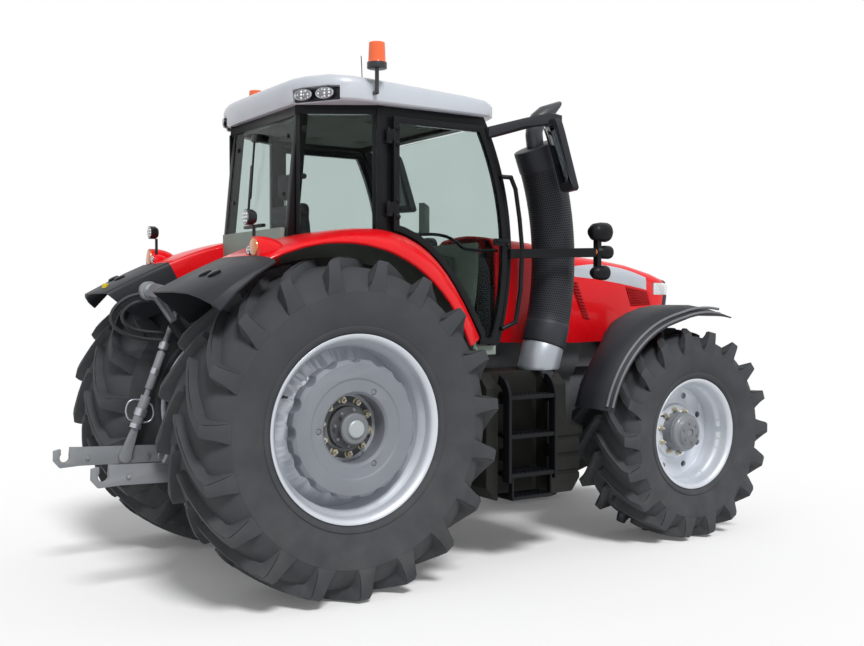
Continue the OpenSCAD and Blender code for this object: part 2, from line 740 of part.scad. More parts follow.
module side_console()
    right() {
        box(140, 760, well_in - 180, well_in - 31, floor_z, 1860);
        box(300, 740, well_in - 180, well_in - 50, 1850, 1990);
        tube([[670, well_in - 110, 1950], [900, 520, 2250]], 16);
        translate([900, 520, 2320])
            rotate([0, 0, 40])
                box(-18, 18, -150, 150, -100, 100);
    }

// flat bar through sections in planes across: y, then the x and z spans
module flat_bar(runs)
    loft([for (q = runs) [[q[1], q[0], q[3]], [q[1], q[0], q[4]], [q[2], q[0], q[4]], [q[2], q[0], q[3]]]]);

// mirror head sections from the foot up: height, place, and share of its size
function mirror_sec(z, s) = let (x = 1740 - 0.34 * (z - 2520), w = 98 * s, t = 34 * s)
    [for (p = [[-1, -0.8], [-0.8, -1], [0.8, -1], [1, -0.8], [1, 0.8], [0.8, 1], [-0.8, 1], [-1, 0.8]])
        [x + p[0] * t - 0.3 * p[1] * w, 1056 + p[1] * w, z]];

module mirrors()
    both() {
        flat_bar([[cab_half + run, 1204, 1248, 2864, 2930], [cab_half + 40, 1212, 1264, 2868, 2936],
            [960, 1420, 1492, 2940, 2996], [1052, 1560, 1616, 2958, 3030], [1100, 1590, 1630, 2956, 3012]]);
        loft([for (q = [[2514, 0.78], [2530, 1], [2900, 1], [2960, 0.95], [2982, 0.8]])
            mirror_sec(q[0], q[1])]);
    }

module bar_lamp(x, z, r, l)
    translate([x, 1090, z])
        rotate([0, 90, 0])
            rotate_extrude()
                polygon([[0, -l / 2], [0.5 * r, -l / 2], [0.86 * r, -0.3 * l], [r, 0.05 * l], [r, 0.4 * l],
                    [0.92 * r, l / 2], [0, l / 2]]);

module cab_rails()
    both() {
        tube([[1326, cab_half + run, 2606], [1326, cab_half + 40, 2606], [1374, cab_half + 70, 2602],
            [1414, cab_half + 70, 2524], [1450, cab_half + 70, 2322], [1473, cab_half + 70, 2119],
            [1460, cab_half + 70, 1847], [1417, cab_half + 70, 1620], [1330, cab_half + 40, 1576],
            [1330, cab_half + run, 1576]], 15);
        flat_bar([[cab_half + run, 1380, 1428, 2052, 2114], [cab_half + 46, 1392, 1444, 2056, 2118],
            [1074, 1906, 1964, 2068, 2130], [1100, 1940, 1980, 2070, 2130]]);
        translate([1962, 1090, 0])
            box(-18, 18, -22, 22, 1960, 2240);
        bar_lamp(1975, 2241, 68, 150);
        bar_lamp(2012, 2103, 47, 128);
        bar_lamp(1978, 1960, 52, 130);
    }

function door_low(d) = concat(arch_line(-1, 0, -d), [[200, crest_z + d], [200, 1200], [1100, 1200]]);

module door_shape(y0, y1, m)
    difference() {
        intersection() {
            rod_y(arc_c[0], arc_c[1], door_edge_r - m, y0, y1, $fn = 360);
            box(b_pillar_x + b_pillar_w + 6 + m, 1700, y0 - 1, y1 + 1, floor_z + 12 + m, cab_top_z - 66 - m);
        }
        extrude_y(y0 - 2, y1 + 2)
            polygon(door_low(10 + m));
    }

module door_frame() {
    difference() {
        door_shape(cab_half + 2, cab_half + 2 + door_t, 0);
        door_shape(cab_half - 20, cab_half + 80, 42);
    }
    for (z = [2320.5, 2780.5])
        difference() {
            union() {
                translate([hinge_x, hinge_y, z])
                    cylinder(r = 17, h = 70);
                box(hinge_x, hinge_x + 50, hinge_y - 10, hinge_y + 10, z, z + 70);
            }
            translate([hinge_x, hinge_y, z - 10])
                cylinder(r = hinge_pin_r + run, h = 120);
        }
    box(screen_x - 178, screen_x - 72, cab_half + 2 + door_t, cab_half + 24 + door_t, 2140, 2180);
}

module door_glass()
    door_shape(cab_half + 16, cab_half + 16 + glass_t, 42.3);

module cowl() {
    extrude_x(screen_x + 22, 1559.8)
        polygon([[-385, 1470], [385, 1470], [385, 1980], [330, 2080], [-330, 2080], [-385, 1980]]);
    both() {
        extrude_y(195, 215)
            polygon([[1540, 2010], [1540, 2070], [1612, bonnet_hinge[1] + 22], [1662, bonnet_hinge[1] + 22],
                [1662, bonnet_hinge[1] - 22], [1612, bonnet_hinge[1] - 22]]);
        rod_y(bonnet_hinge[0], bonnet_hinge[1], 14, 142, 205);
    }
}

// section of the bonnet, leaning forward by the last value towards its top
function bonnet_sec(x, b, z0, z1, d, lean) = let (r = 0.17 * (z1 - z0))
    let (half = concat([[b - d, z0], [b - d - 4, z0 + 0.35 * (z1 - z0)]],
        arc_pts([b - 12 - r, z1 - 20 - r], r - d, 0, 78, 5), [[(b - r) * 0.4, z1 - 5 - d]]))
    [for (p = concat(half, [[0, z1 - d]], [for (p = rev(half)) [-p[0], p[1]]]))
        [x + lean * (p[1] - z0) / (z1 - z0), p[0], p[1]]];
// share of the way to the nose, then width, lower edge, top and lean
bonnet_stations = [[0, 0, 1462, 0, 0], [0.228, -5, 1446, -30, 0], [0.46, -15, 1440, -115, 0],
    [0.634, -26, 1446, -143, 0], [0.808, -41, 1462, -180, 4], [0.954, -56, 1485, -245, 40],
    [1, -66, 1492, -290, 100]];
bonnet_x0 = 1606;
function bonnet_at(s, d) = bonnet_sec(bonnet_x0 + s[0] * (nose_x - bonnet_x0), bonnet_half + s[1], s[2],
    bonnet_top_z + s[3], d, s[4]);
// nose ahead of the bonnet: step forward and share of the section's size
nose_steps = [[run, 1, 1], [45, 0.97, 0.95], [90, 0.9, 0.75], [120, 0.74, 0.5]];
function nose_sec(q) = let (s = bonnet_stations[6], mid = 1710)
    [for (p = bonnet_at([1, s[1], s[2], s[3], s[4] * q[2]], 0))
        [p[0] + q[0], p[1] * q[1], mid + (p[2] - mid) * q[1]]];

// room of a head lamp at the upper corner of the nose
module lamp_room(m)
    box(nose_x - 60 - m, nose_x + 150, 170 - m, 420, 1812 - m, 1912 + m);

module bonnet() {
    difference() {
        sheet([for (s = bonnet_stations) bonnet_at(s, 0)],
            [for (s = bonnet_stations) bonnet_at(s, bonnet_wall)]);
        both() {
            lamp_room(run);
            intersection() {
                extrude_y(300, 450)
                    polygon([[nose_x - 388, 1876], [nose_x - 135, 1838], [nose_x - 98, 1728],
                        [nose_x - 332, 1718]]);
                linear_extrude(2000)
                    polygon([[nose_x - 420, bonnet_half - 48], [nose_x - 80, bonnet_half - 68],
                        [nose_x - 80, 460], [nose_x - 420, 460]]);
            }
        }
    }
    both()
        difference() {
            union() {
                rod_y(bonnet_hinge[0], bonnet_hinge[1], 34, 140, 190);
                box(bonnet_hinge[0] - 20, bonnet_hinge[0] + 20, 140, 190, bonnet_hinge[1], bonnet_top_z - 30);
            }
            rod_y(bonnet_hinge[0], bonnet_hinge[1], 14 + run, 100, 230);
        }
}

module grille()
    difference() {
        loft([for (q = nose_steps) nose_sec(q)]);
        both()
            lamp_room(run);
        for (z = [1560:44:1780])
            box(nose_x + 96, nose_x + 300, -190, 190, z, z + 20);
    }

module head_lamps()
    both()
        intersection() {
            loft(concat([bonnet_at(bonnet_stations[5], 0), bonnet_at(bonnet_stations[6], 0)],
                [for (i = [1:3]) nose_sec(nose_steps[i])]));
            lamp_room(0);
        }

module lift_arms() {
    rod_y(pivot[0], pivot[1], 46, -arm_out, arm_out);
    both() {
        rod_y(pivot[0], pivot[1], 84, gear_half + 2, arm_out);
        extrude_y(arm_in, arm_out)
            polygon([pivot + [24, 78], pivot + [-20, -80], eye + [30, -72], cyl_eye + [16, -58],
                cyl_eye + [-12, 60]]);
        rod_y(cyl_eye[0], cyl_eye[1], 62, arm_in, arm_out);
        rod_y(eye[0], eye[1], 18, arm_in + 10, link_y - 20);
    }
}

module bar_xz(a, b, r, y)
    tube([[a[0], y, a[1]], [b[0], y, b[1]]], r);

module lift_rods()
    both()
        difference() {
            union() {
                bar_xz(toward(eye, rod_pin, 30), toward(rod_pin, eye, 30), 19, rod_mid);
                bar_xz(toward(eye, rod_pin, 380), toward(eye, rod_pin, 640), 27, rod_mid);
                bar_xz(toward(eye, rod_pin, 690), toward(eye, rod_pin, 900), 34, rod_mid);
                rod_y(eye[0], eye[1], 44, rod_mid - 20, rod_mid + 20);
                extrude_y(rod_mid - 20, rod_mid + 20)
                    polygon([toward(rod_pin, eye, 200) + [-22, -8], toward(rod_pin, eye, 200) + [22, 8],
                        rod_pin + [40, 6], rod_pin + [-40, -6]]);
                rod_y(rod_pin[0], rod_pin[1], 40, rod_mid - 20, rod_mid + 20);
            }
            rod_y(eye[0], eye[1], 18 + run, 300, 450);
        }

module lower_links()
    both()
        difference() {
            union() {
                rod_y(link_pivot[0], link_pivot[1], 52, link_y - 40, link_y + 34);
                extrude_y(link_y - 20, link_y + 20)
                    polygon([link_pivot + [-10, 46], link_pivot + [-10, -46], rod_pin + [200, -56],
                        link_hook + [90, -60], link_hook + [-30, -66], link_hook + [-68, -20],
                        link_hook + [-66, 46], link_hook + [20, 66], link_hook + [90, 60],
                        rod_pin + [200, 56]]);
            }
            rod_y(link_pivot[0], link_pivot[1], 22 + run, link_y - 80, link_y + 80);
            rod_y(link_hook[0], link_hook[1], hook_ball_r, link_y - 60, link_y + 60);
            extrude_y(link_y - 60, link_y + 60)
                polygon([link_hook + [-24, 0], link_hook + [30, 0], link_hook + [40, 100],
                    link_hook + [-24, 100]]);
        }

module lift_cylinders()
    both()
        difference() {
            union() {
                bar_xz(toward(cyl_base, cyl_eye, 20), toward(cyl_base, cyl_eye, 560), 46, cyl_mid);
                rod_y(cyl_base[0], cyl_base[1], 52, cyl_mid - 46, cyl_mid + 46);
            }
            rod_y(cyl_base[0], cyl_base[1], 18 + run, cyl_mid - 80, cyl_mid + 80);
            bar_xz(toward(cyl_base, cyl_eye, 80), toward(cyl_base, cyl_eye, 620), 26 + run, cyl_mid);
        }

module lift_pistons()
    both() {
        bar_xz(toward(cyl_base, cyl_eye, 290), toward(cyl_eye, cyl_base, 30), 26, cyl_mid);
        rod_y(cyl_eye[0], cyl_eye[1], 44, cyl_mid - 40, arm_in - 4);
    }

color("DimGray")
        place()
            transmission();
color("DimGray")
        place()
            rear_axle();
color("DimGray")
        place()
            engine();
color("DimGray")
        place()
            front_support();
color("DimGray")
        place()
            front_axle();
color("Gray")
        place()
            hitch_frame();
color("DarkSlateGray")  // right_tank
        place()
            right() tank();
color("DarkSlateGray")  // left_box
        place()
            tank();
color("Black")  // steps
        place()
            both() step_set();
color("Black")
        place()
            cowl();
color("DarkSlateGray")
        place()
            cab_floor();
color("Black")
        place()
            cab_frame();
color("LightBlue")
        place()
            windscreen();
color("LightBlue")
        place()
            cab_glass();
color("Silver")
        place()
            roof();
color("Black")
        place()
            work_lamps();
color("Orange")
        place()
            beacons();
color("Red")
        place()
            rear_fenders();
color("DarkSlateGray")
        place()
            fender_extensions();
color("Black")
        place()
            right() exhaust_shield();
color("Silver")
        place()
            right() exhaust_pipe();
color("DarkSlateGray")
        place()
            seat();
color("Black")
        place()
            steering_column();
color("Black")
        place()
            side_console();
color("Black")
        place()
            mirrors();
color("Black")
        place()
            cab_rails();
color("DarkSlateGray")  // rear_tyre_left
        place()
            rear_tyre();
color("DarkSlateGray")  // rear_tyre_right
        place()
            right() rear_tyre();
color("Silver")  // rear_rim_left
        place()
            rear_rim();
color("Silver")  // rear_rim_right
        place()
            right() rear_rim();
color("Gray")  // wheel_weight_left
        place()
            wheel_weight();
color("Gray")  // wheel_weight_right
        place()
            right() wheel_weight();
color("DarkSlateGray")  // front_tyre_left
        place()
            front_tyre();
color("DarkSlateGray")  // front_tyre_right
        place()
            right() front_tyre();
color("Silver")  // front_rim_left
        place()
            front_rim();
color("Silver")  // front_rim_right
        place()
            right() front_rim();
color("DimGray")  // knuckle_left
        place()
            knuckle();
color("DimGray")  // knuckle_right
        place()
            right() knuckle();
color("DarkSlateGray")  // front_fender_left
        place()
            front_fender();
color("DarkSlateGray")  // front_fender_right
        place()
            right() front_fender();
color("Gray")
        place()
            tie_rod();
color("Black")  // door_frame_left
        place()
            door_frame();
color("Black")  // door_frame_right
        place()
            right() door_frame();
color("LightBlue")  // door_glass_left
        place()
            door_glass();
color("LightBlue")  // door_glass_right
        place()
            right() door_glass();
color("Red")
        place()
            bonnet();
color("Black")
        place()
            grille();
color("White")
        place()
            head_lamps();
color("Gray")
        place()
            lift_arms();
color("Gray")
        place()
            lift_rods();
color("Gray")
        place()
            lower_links();
color("Black")
        place()
            lift_cylinders();
color("Silver")
        place()
            lift_pistons();
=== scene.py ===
import bpy
import bmesh
import json
import math
from mathutils import Vector, Matrix, Euler
from mathutils.bvhtree import BVHTree
from mathutils.geometry import interpolate_bezier
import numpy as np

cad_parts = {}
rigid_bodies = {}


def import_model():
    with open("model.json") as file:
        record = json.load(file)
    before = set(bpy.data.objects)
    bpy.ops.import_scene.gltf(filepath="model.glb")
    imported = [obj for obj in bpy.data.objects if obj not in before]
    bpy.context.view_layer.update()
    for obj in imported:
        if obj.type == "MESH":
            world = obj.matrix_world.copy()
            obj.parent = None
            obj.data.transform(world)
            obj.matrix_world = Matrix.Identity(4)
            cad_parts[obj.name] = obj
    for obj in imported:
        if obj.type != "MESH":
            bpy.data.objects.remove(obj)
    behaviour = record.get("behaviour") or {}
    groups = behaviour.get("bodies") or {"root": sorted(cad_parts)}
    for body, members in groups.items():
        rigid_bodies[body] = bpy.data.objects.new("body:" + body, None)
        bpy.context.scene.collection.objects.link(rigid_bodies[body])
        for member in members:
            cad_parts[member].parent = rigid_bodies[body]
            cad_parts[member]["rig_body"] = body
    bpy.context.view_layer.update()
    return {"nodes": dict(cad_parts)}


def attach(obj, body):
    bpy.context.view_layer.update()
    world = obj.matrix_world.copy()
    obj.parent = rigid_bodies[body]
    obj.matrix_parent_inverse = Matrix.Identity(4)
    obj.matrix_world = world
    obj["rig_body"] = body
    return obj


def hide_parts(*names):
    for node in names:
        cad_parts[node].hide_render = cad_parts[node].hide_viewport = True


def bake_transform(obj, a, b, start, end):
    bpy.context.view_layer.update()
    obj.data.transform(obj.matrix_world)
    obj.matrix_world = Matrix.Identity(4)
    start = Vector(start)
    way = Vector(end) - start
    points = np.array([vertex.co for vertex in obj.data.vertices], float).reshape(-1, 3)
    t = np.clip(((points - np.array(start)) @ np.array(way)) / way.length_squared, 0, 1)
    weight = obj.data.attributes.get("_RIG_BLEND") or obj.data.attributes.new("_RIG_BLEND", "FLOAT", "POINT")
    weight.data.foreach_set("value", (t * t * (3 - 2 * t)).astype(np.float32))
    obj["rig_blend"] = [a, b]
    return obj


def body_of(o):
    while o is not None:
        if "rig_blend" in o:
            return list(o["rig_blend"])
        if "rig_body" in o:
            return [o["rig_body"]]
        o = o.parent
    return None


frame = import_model()
nodes = frame["nodes"]
scene = bpy.context.scene


def linked(name, data):
    obj = bpy.data.objects.new(name, data)
    scene.collection.objects.link(obj)
    return obj


rearAxleX = -1.17  # the rear axle in the row frame, from the record's origin
sides = ((1, "Left"), (-1, "Right"))


# node helpers: an input is given as a value, or as a socket to link from

def feed(tree, node, ins):
    for key, value in ins.items():
        if isinstance(value, bpy.types.NodeSocket):
            tree.links.new(value, node.inputs[key])
        else:
            node.inputs[key].default_value = value


def addNode(tree, kind, ins=None, **props):
    node = tree.nodes.new("ShaderNode" + kind)
    for key, value in props.items():
        setattr(node, key, value)
    feed(tree, node, ins or {})
    return node


def addMath(tree, op, *values, **props):
    return addNode(tree, "Math", dict(enumerate(values)), operation=op, **props).outputs[0]


def addMix(tree, share, a, b, kind="RGBA"):
    first, out = (6, 2) if kind == "RGBA" else (2, 0)
    return addNode(tree, "Mix", {0: share, first: a, first + 1: b}, data_type=kind).outputs[out]


def objectCoord(tree):
    return addNode(tree, "TexCoord").outputs["Object"]


def splitCoord(tree):
    return addNode(tree, "SeparateXYZ", {0: objectCoord(tree)}).outputs


def newMaterial(name):
    mat = bpy.data.materials.new(name)
    mat.use_nodes = True
    return mat, mat.node_tree, mat.node_tree.nodes["Principled BSDF"]


# camera, floor and light

shot = dict(place=(-4.1801, -6.5059, 1.7765), yaw=33.58, pitch=-1.308, lens=43.586, sensor=36)

camData = bpy.data.cameras.new("shotCamera")
camData.sensor_width = shot["sensor"]
camData.lens = shot["lens"]
camera = linked("shotCamera", camData)
camera.location = shot["place"]
camera.rotation_euler = (math.radians(90 + shot["pitch"]), 0, math.radians(-shot["yaw"]))
scene.camera = camera
scene.view_settings.view_transform = "Standard"

studio = dict(sky=0.46, backdrop=1.0, keyPower=2.6, keyTilt=(34, -24, 20), keySize=16,
    floor=(0.93, 0.93, 0.93), floorRough=0.9, floorGlow=0.08, floorHalf=60)
white = (1, 1, 1, 1)

world = bpy.data.worlds.new("studio")
scene.world = world
world.use_nodes = True
sky = world.node_tree
sky.nodes.clear()
rays = addNode(sky, "LightPath").outputs
direct = addMath(sky, "MAXIMUM", rays["Is Camera Ray"], rays["Is Transmission Ray"])
direct = addMath(sky, "MAXIMUM", direct, rays["Is Glossy Ray"])
skyLight, backdrop = [addNode(sky, "Background", dict(Color=white, Strength=studio[key])).outputs[0]
    for key in ("sky", "backdrop")]
pick = addNode(sky, "MixShader", {0: direct, 1: skyLight, 2: backdrop})
addNode(sky, "OutputWorld", {0: pick.outputs[0]})

keyData = bpy.data.lights.new("key", "SUN")
keyData.energy = studio["keyPower"]
keyData.angle = math.radians(studio["keySize"])
key = linked("key", keyData)
key.rotation_euler = [math.radians(a) for a in studio["keyTilt"]]

floorMesh = bpy.data.meshes.new("floor")
bm = bmesh.new()
bmesh.ops.create_grid(bm, x_segments=1, y_segments=1, size=studio["floorHalf"])
bm.to_mesh(floorMesh)
bm.free()
floor = linked("floor", floorMesh)
floorMat, tree, bsdf = newMaterial("floorWhite")
feed(tree, bsdf, {"Base Color": (*studio["floor"], 1), "Roughness": studio["floorRough"],
        "Specular IOR Level": 0.0})
# the floor shows paler to the camera and keeps its shadow
glow = addNode(tree, "Emission", dict(Color=white, Strength=1.0))
share = addMath(tree, "MULTIPLY", addNode(tree, "LightPath").outputs["Is Camera Ray"], studio["floorGlow"])
paler = addNode(tree, "MixShader", {0: share, 1: bsdf.outputs[0], 2: glow.outputs[0]})
feed(tree, tree.nodes["Material Output"], {0: paler.outputs[0]})
floorMesh.materials.append(floorMat)
print("stage ready")


# shader groups shared by the finishes

def newGroup(name, outs, **ins):
    tree = bpy.data.node_groups.new(name, "ShaderNodeTree")
    kinds = {1: "NodeSocketFloat", 3: "NodeSocketVector", 4: "NodeSocketColor"}
    for label, value in ins.items():
        kind = kinds[len(value) if isinstance(value, tuple) else 1]
        sock = tree.interface.new_socket(label.replace("_", " "), in_out="INPUT", socket_type=kind)
        sock.default_value = value
    for label in outs:
        kind = kinds[4 if label == "Color" else 1]
        tree.interface.new_socket(label, in_out="OUTPUT", socket_type=kind)
    return tree, tree.nodes.new("NodeGroupInput").outputs, tree.nodes.new("NodeGroupOutput")


def placeGroup(tree, group, **ins):
    named = {key.replace("_", " "): value for key, value in ins.items()}
    return addNode(tree, "Group", named, node_tree=group).outputs


# fine moulded or cast grain as a height, with a slow tone change beside it
grain, gIn, gOut = newGroup("fineGrain", ("Height", "Tone"), Scale=300.0, Cloud_Scale=3.0)
coord = objectCoord(grain)
small = addNode(grain, "TexNoise", dict(Vector=coord, Scale=gIn["Scale"], Detail=3))
big = addNode(grain, "TexNoise", dict(Vector=coord, Scale=gIn["Cloud Scale"], Detail=4))
feed(grain, gOut, dict(Height=small.outputs[0], Tone=big.outputs[0]))

# pale dust in patches, thicker low down
dust, gIn, gOut = newGroup("settledDust", ("Color",), Color=(0.1, 0.1, 0.1, 1),
    Dust_Color=(0.35, 0.32, 0.28, 1), Amount=0.2, Reach=1.0)
low = addNode(dust, "MapRange", {"Value": splitCoord(dust)["Z"], "From Max": gIn["Reach"],
        "To Min": 1, "To Max": 0.15})
spots = addNode(dust, "TexNoise", dict(Vector=objectCoord(dust), Scale=7, Detail=6))
spread = addNode(dust, "MapRange", {"Value": spots.outputs[0], "From Min": 0.35, "From Max": 0.7})
both = addMath(dust, "MULTIPLY", low.outputs[0], spread.outputs[0])
much = addMath(dust, "MULTIPLY", both, gIn["Amount"], use_clamp=True)
feed(dust, gOut, dict(Color=addMix(dust, much, gIn["Color"], gIn["Dust Color"])))

# two close colours blended by a tone
twoTone, gIn, gOut = newGroup("twoTone", ("Color", "Roughness"), Tone=0.5, Light=(0.5, 0.5, 0.5, 1),
    Dark=(0.4, 0.4, 0.4, 1), Rough_Low=0.3, Rough_High=0.5)
span = addNode(twoTone, "MapRange", {"Value": gIn["Tone"], "From Min": 0.3, "From Max": 0.7}).outputs[0]
feed(twoTone, gOut, dict(Color=addMix(twoTone, span, gIn["Dark"], gIn["Light"]),
        Roughness=addMix(twoTone, span, gIn["Rough Low"], gIn["Rough High"], "FLOAT")))

finishSet = dict(coatRough=0.06, grainDepth=0.0006, dustColor=(0.3, 0.28, 0.25, 1))


# one finish: tone, dust and grain into a Principled shader
def makeFinish(name, light, dark, rough, metal=0.0, coat=0.0, grit=400.0, cloud=3.0, bump=0.05,
        dusty=0.0, dustTop=1.4, spec=0.5):
    mat, tree, bsdf = newMaterial(name)
    g = placeGroup(tree, grain, Scale=grit, Cloud_Scale=cloud)
    t = placeGroup(tree, twoTone, Tone=g["Tone"], Light=(*light, 1), Dark=(*dark, 1),
        Rough_Low=rough[0], Rough_High=rough[1])
    color = t["Color"]
    if dusty > 0:
        color = placeGroup(tree, dust, Color=color, Amount=dusty, Reach=dustTop,
            Dust_Color=finishSet["dustColor"])["Color"]
    relief = addNode(tree, "Bump", dict(Strength=bump, Distance=finishSet["grainDepth"], Height=g["Height"]))
    feed(tree, bsdf, {"Base Color": color, "Roughness": t["Roughness"], "Metallic": metal,
            "Coat Weight": coat, "Coat Roughness": finishSet["coatRough"],
            "Specular IOR Level": spec, "Normal": relief.outputs[0]})
    return mat


# light and dark tone, roughness range, and what differs from the plain finish
finishTable = dict(
    redPaint=((0.74, 0.004, 0.01), (0.68, 0.003, 0.007), (0.26, 0.34),
        dict(coat=0.2, grit=900, bump=0.03, spec=0.22)),
    roofGrey=((0.5, 0.53, 0.58), (0.46, 0.49, 0.54), (0.3, 0.4), dict(coat=0.25)),
    rimSilver=((0.6, 0.63, 0.68), (0.54, 0.57, 0.62), (0.32, 0.42),
        dict(metal=0.35, coat=0.2, dusty=0.1)),
    weightGrey=((0.19, 0.205, 0.23), (0.16, 0.172, 0.195), (0.5, 0.62), dict(grit=160, bump=0.25)),
    linkGrey=((0.22, 0.235, 0.25), (0.17, 0.18, 0.195), (0.45, 0.6),
        dict(grit=120, bump=0.25, dusty=0.15)),
    castGrey=((0.1, 0.105, 0.115), (0.07, 0.074, 0.08), (0.5, 0.65),
        dict(grit=120, bump=0.35, dusty=0.25)),
    tyreRubber=((0.05, 0.054, 0.06), (0.038, 0.041, 0.045), (0.7, 0.85),
        dict(grit=220, cloud=5, bump=0.2, dusty=0.08, dustTop=1.6, spec=0.25)),
    mouldedBlack=((0.024, 0.026, 0.032), (0.018, 0.019, 0.024), (0.45, 0.58),
        dict(grit=700, bump=0.25, dusty=0.02, spec=0.22)),
    tankBlack=((0.013, 0.0135, 0.012), (0.009, 0.0095, 0.0085), (0.48, 0.62),
        dict(grit=500, bump=0.3, dusty=0.03, spec=0.16)),
    frameBlack=((0.007, 0.0075, 0.009), (0.0045, 0.005, 0.006), (0.3, 0.42), dict(spec=0.16)),
    shieldBlack=((0.03, 0.032, 0.04), (0.019, 0.02, 0.025), (0.42, 0.52), dict(bump=0.1, spec=0.25)),
    steelPlain=((0.48, 0.5, 0.54), (0.38, 0.4, 0.43), (0.28, 0.42), dict(metal=0.8, bump=0.08)),
    lampBlack=((0.014, 0.015, 0.017), (0.009, 0.01, 0.012), (0.25, 0.35), dict(bump=0.03, spec=0.25)),
    seatCloth=((0.05, 0.05, 0.055), (0.035, 0.035, 0.04), (0.8, 0.95), dict(grit=900, bump=0.5)),
    zincBolt=((0.62, 0.58, 0.46), (0.48, 0.44, 0.34), (0.3, 0.42), dict(metal=0.7, bump=0.1)),
    hubGrey=((0.17, 0.18, 0.195), (0.13, 0.14, 0.15), (0.45, 0.6),
        dict(grit=140, bump=0.3, dusty=0.1)),
    hoseRubber=((0.022, 0.023, 0.025), (0.014, 0.0145, 0.016), (0.5, 0.65), dict(grit=600, bump=0.2)),
    mirrorFace=((0.1, 0.105, 0.115), (0.085, 0.09, 0.1), (0.03, 0.06), dict(metal=1.0, bump=0.01)),
    linerGrey=((0.2, 0.22, 0.2), (0.16, 0.175, 0.16), (0.8, 0.9), dict(grit=800, bump=0.3)),
    yellowPlug=((0.72, 0.55, 0.03), (0.6, 0.44, 0.02), (0.4, 0.5), dict(grit=500, bump=0.1)),
    trimGrey=((0.24, 0.285, 0.25), (0.19, 0.225, 0.2), (0.6, 0.75),
        dict(grit=700, bump=0.3, spec=0.25)),
    trimDark=((0.1, 0.118, 0.108), (0.075, 0.088, 0.08), (0.55, 0.7),
        dict(grit=700, bump=0.3, spec=0.25)),
    ventRed=((0.36, 0.004, 0.007), (0.28, 0.003, 0.005), (0.4, 0.5),
        dict(grit=500, bump=0.1, spec=0.2)),
    lipGrey=((0.17, 0.176, 0.19), (0.13, 0.135, 0.148), (0.35, 0.48),
        dict(grit=600, bump=0.2, spec=0.3)),
    beaconLens=((0.02, 0.021, 0.024), (0.014, 0.015, 0.017), (0.25, 0.35), dict(bump=0.03)),
    pipeDark=((0.4, 0.43, 0.47), (0.33, 0.355, 0.39), (0.3, 0.42), dict(metal=0.55, bump=0.08)))
finish = {name: makeFinish(name, light, dark, rough, **rest)
    for name, (light, dark, rough, rest) in finishTable.items()}


# masks, and a second colour laid over a finish where a mask says so

def overlay(name, group, color, rough=None, metal=None, **ins):
    tree = finish[name].node_tree
    bsdf = tree.nodes["Principled BSDF"]
    mask = placeGroup(tree, group, **ins)["Mask"]
    for label, value in (("Base Color", (*color, 1)), ("Roughness", rough), ("Metallic", metal)):
        if value is not None:
            sock = bsdf.inputs[label]
            under = sock.links[0].from_socket if sock.is_linked else sock.default_value
            kind = "RGBA" if label == "Base Color" else "FLOAT"
            feed(tree, bsdf, {label: addMix(tree, mask, under, value, kind)})


# a band on the bonnet's sides between two curves, given as (share of the length, height)
band = dict(x=(2.2, 3.19), z=(1.8, 2.1), ends=(0.001, 0.999),
    lower=[(0, 1.962), (0.16, 1.952), (0.5, 1.924), (1, 1.853)],
    upper=[(0, 2.01), (0.16, 2.029), (0.5, 2.048), (1, 1.954)])
sideBand, gIn, gOut = newGroup("sideBand", ("Mask",))
axes = splitCoord(sideBand)
x0, x1 = [x + rearAxleX for x in band["x"]]
z0, z1 = band["z"]
along = addNode(sideBand, "MapRange", {"Value": axes["X"], "From Min": x0, "From Max": x1}).outputs[0]
high = addNode(sideBand, "MapRange", {"Value": axes["Z"], "From Min": z0, "From Max": z1}, clamp=False).outputs[0]
mask = addMath(sideBand, "MULTIPLY", addMath(sideBand, "GREATER_THAN", along, band["ends"][0]),
    addMath(sideBand, "LESS_THAN", along, band["ends"][1]))
for edge, test in (("lower", "GREATER_THAN"), ("upper", "LESS_THAN")):
    line = addNode(sideBand, "FloatCurve", dict(Value=along))
    points = line.mapping.curves[0].points
    places = [(t, (z - z0) / (z1 - z0)) for t, z in band[edge]]
    points[0].location = places[0]
    points[1].location = places[-1]
    for place in places[1:-1]:
        points.new(*place)
    line.mapping.update()
    mask = addMath(sideBand, "MULTIPLY", mask, addMath(sideBand, test, high, line.outputs[0]))
feed(sideBand, gOut, dict(Mask=mask))

# all that lies above a height
heightSplit, gIn, gOut = newGroup("heightSplit", ("Mask",), Height=1.0)
above = addMath(heightSplit, "GREATER_THAN", splitCoord(heightSplit)["Z"], gIn["Height"])
feed(heightSplit, gOut, dict(Mask=above))

# a round about a wheel's axle
hubRound, gIn, gOut = newGroup("hubRound", ("Mask",), Centre=(0, 0, 0), Radius=0.1)
flat = addNode(hubRound, "VectorMath", {0: objectCoord(hubRound), 1: (1, 0, 1)}, operation="MULTIPLY")
away = addNode(hubRound, "VectorMath", {0: flat.outputs[0], 1: gIn["Centre"]}, operation="DISTANCE")
feed(hubRound, gOut, dict(Mask=addMath(hubRound, "LESS_THAN", away.outputs["Value"], gIn["Radius"])))

# round holes in staggered rows on the bowed exhaust shield, painted near-black as painted shade seen through them:
# angle about its line, and arc along it
shield = dict(x=-0.15, y=-0.75, z=2.05, reach=2.0, tube=0.153, holesFrom=-12.8, holesTo=18.8, holeSize=0.105,
    runs=[(-17.46, 0.149), (-17.3, 0.156), (-17.1, 0.158), (-13.2, 0.158), (-12.95, 0.156),
        (-12.8, 0.1525), (18.8, 0.1525), (18.95, 0.156), (19.2, 0.158), (23.2, 0.158),
        (23.5, 0.156), (23.6, 0.149)], longRun=6, longSteps=16)
holes, gIn, gOut = newGroup("shieldHoles", ("Mask",), Pitch=0.017)


def calc(op, *values):
    return addMath(holes, op, *values)


# place within a cell, from its middle; the thousand keeps the counts above zero
def cellPlace(count):
    return calc("SUBTRACT", calc("FRACT", calc("ADD", count, 1000.0)), 0.5)


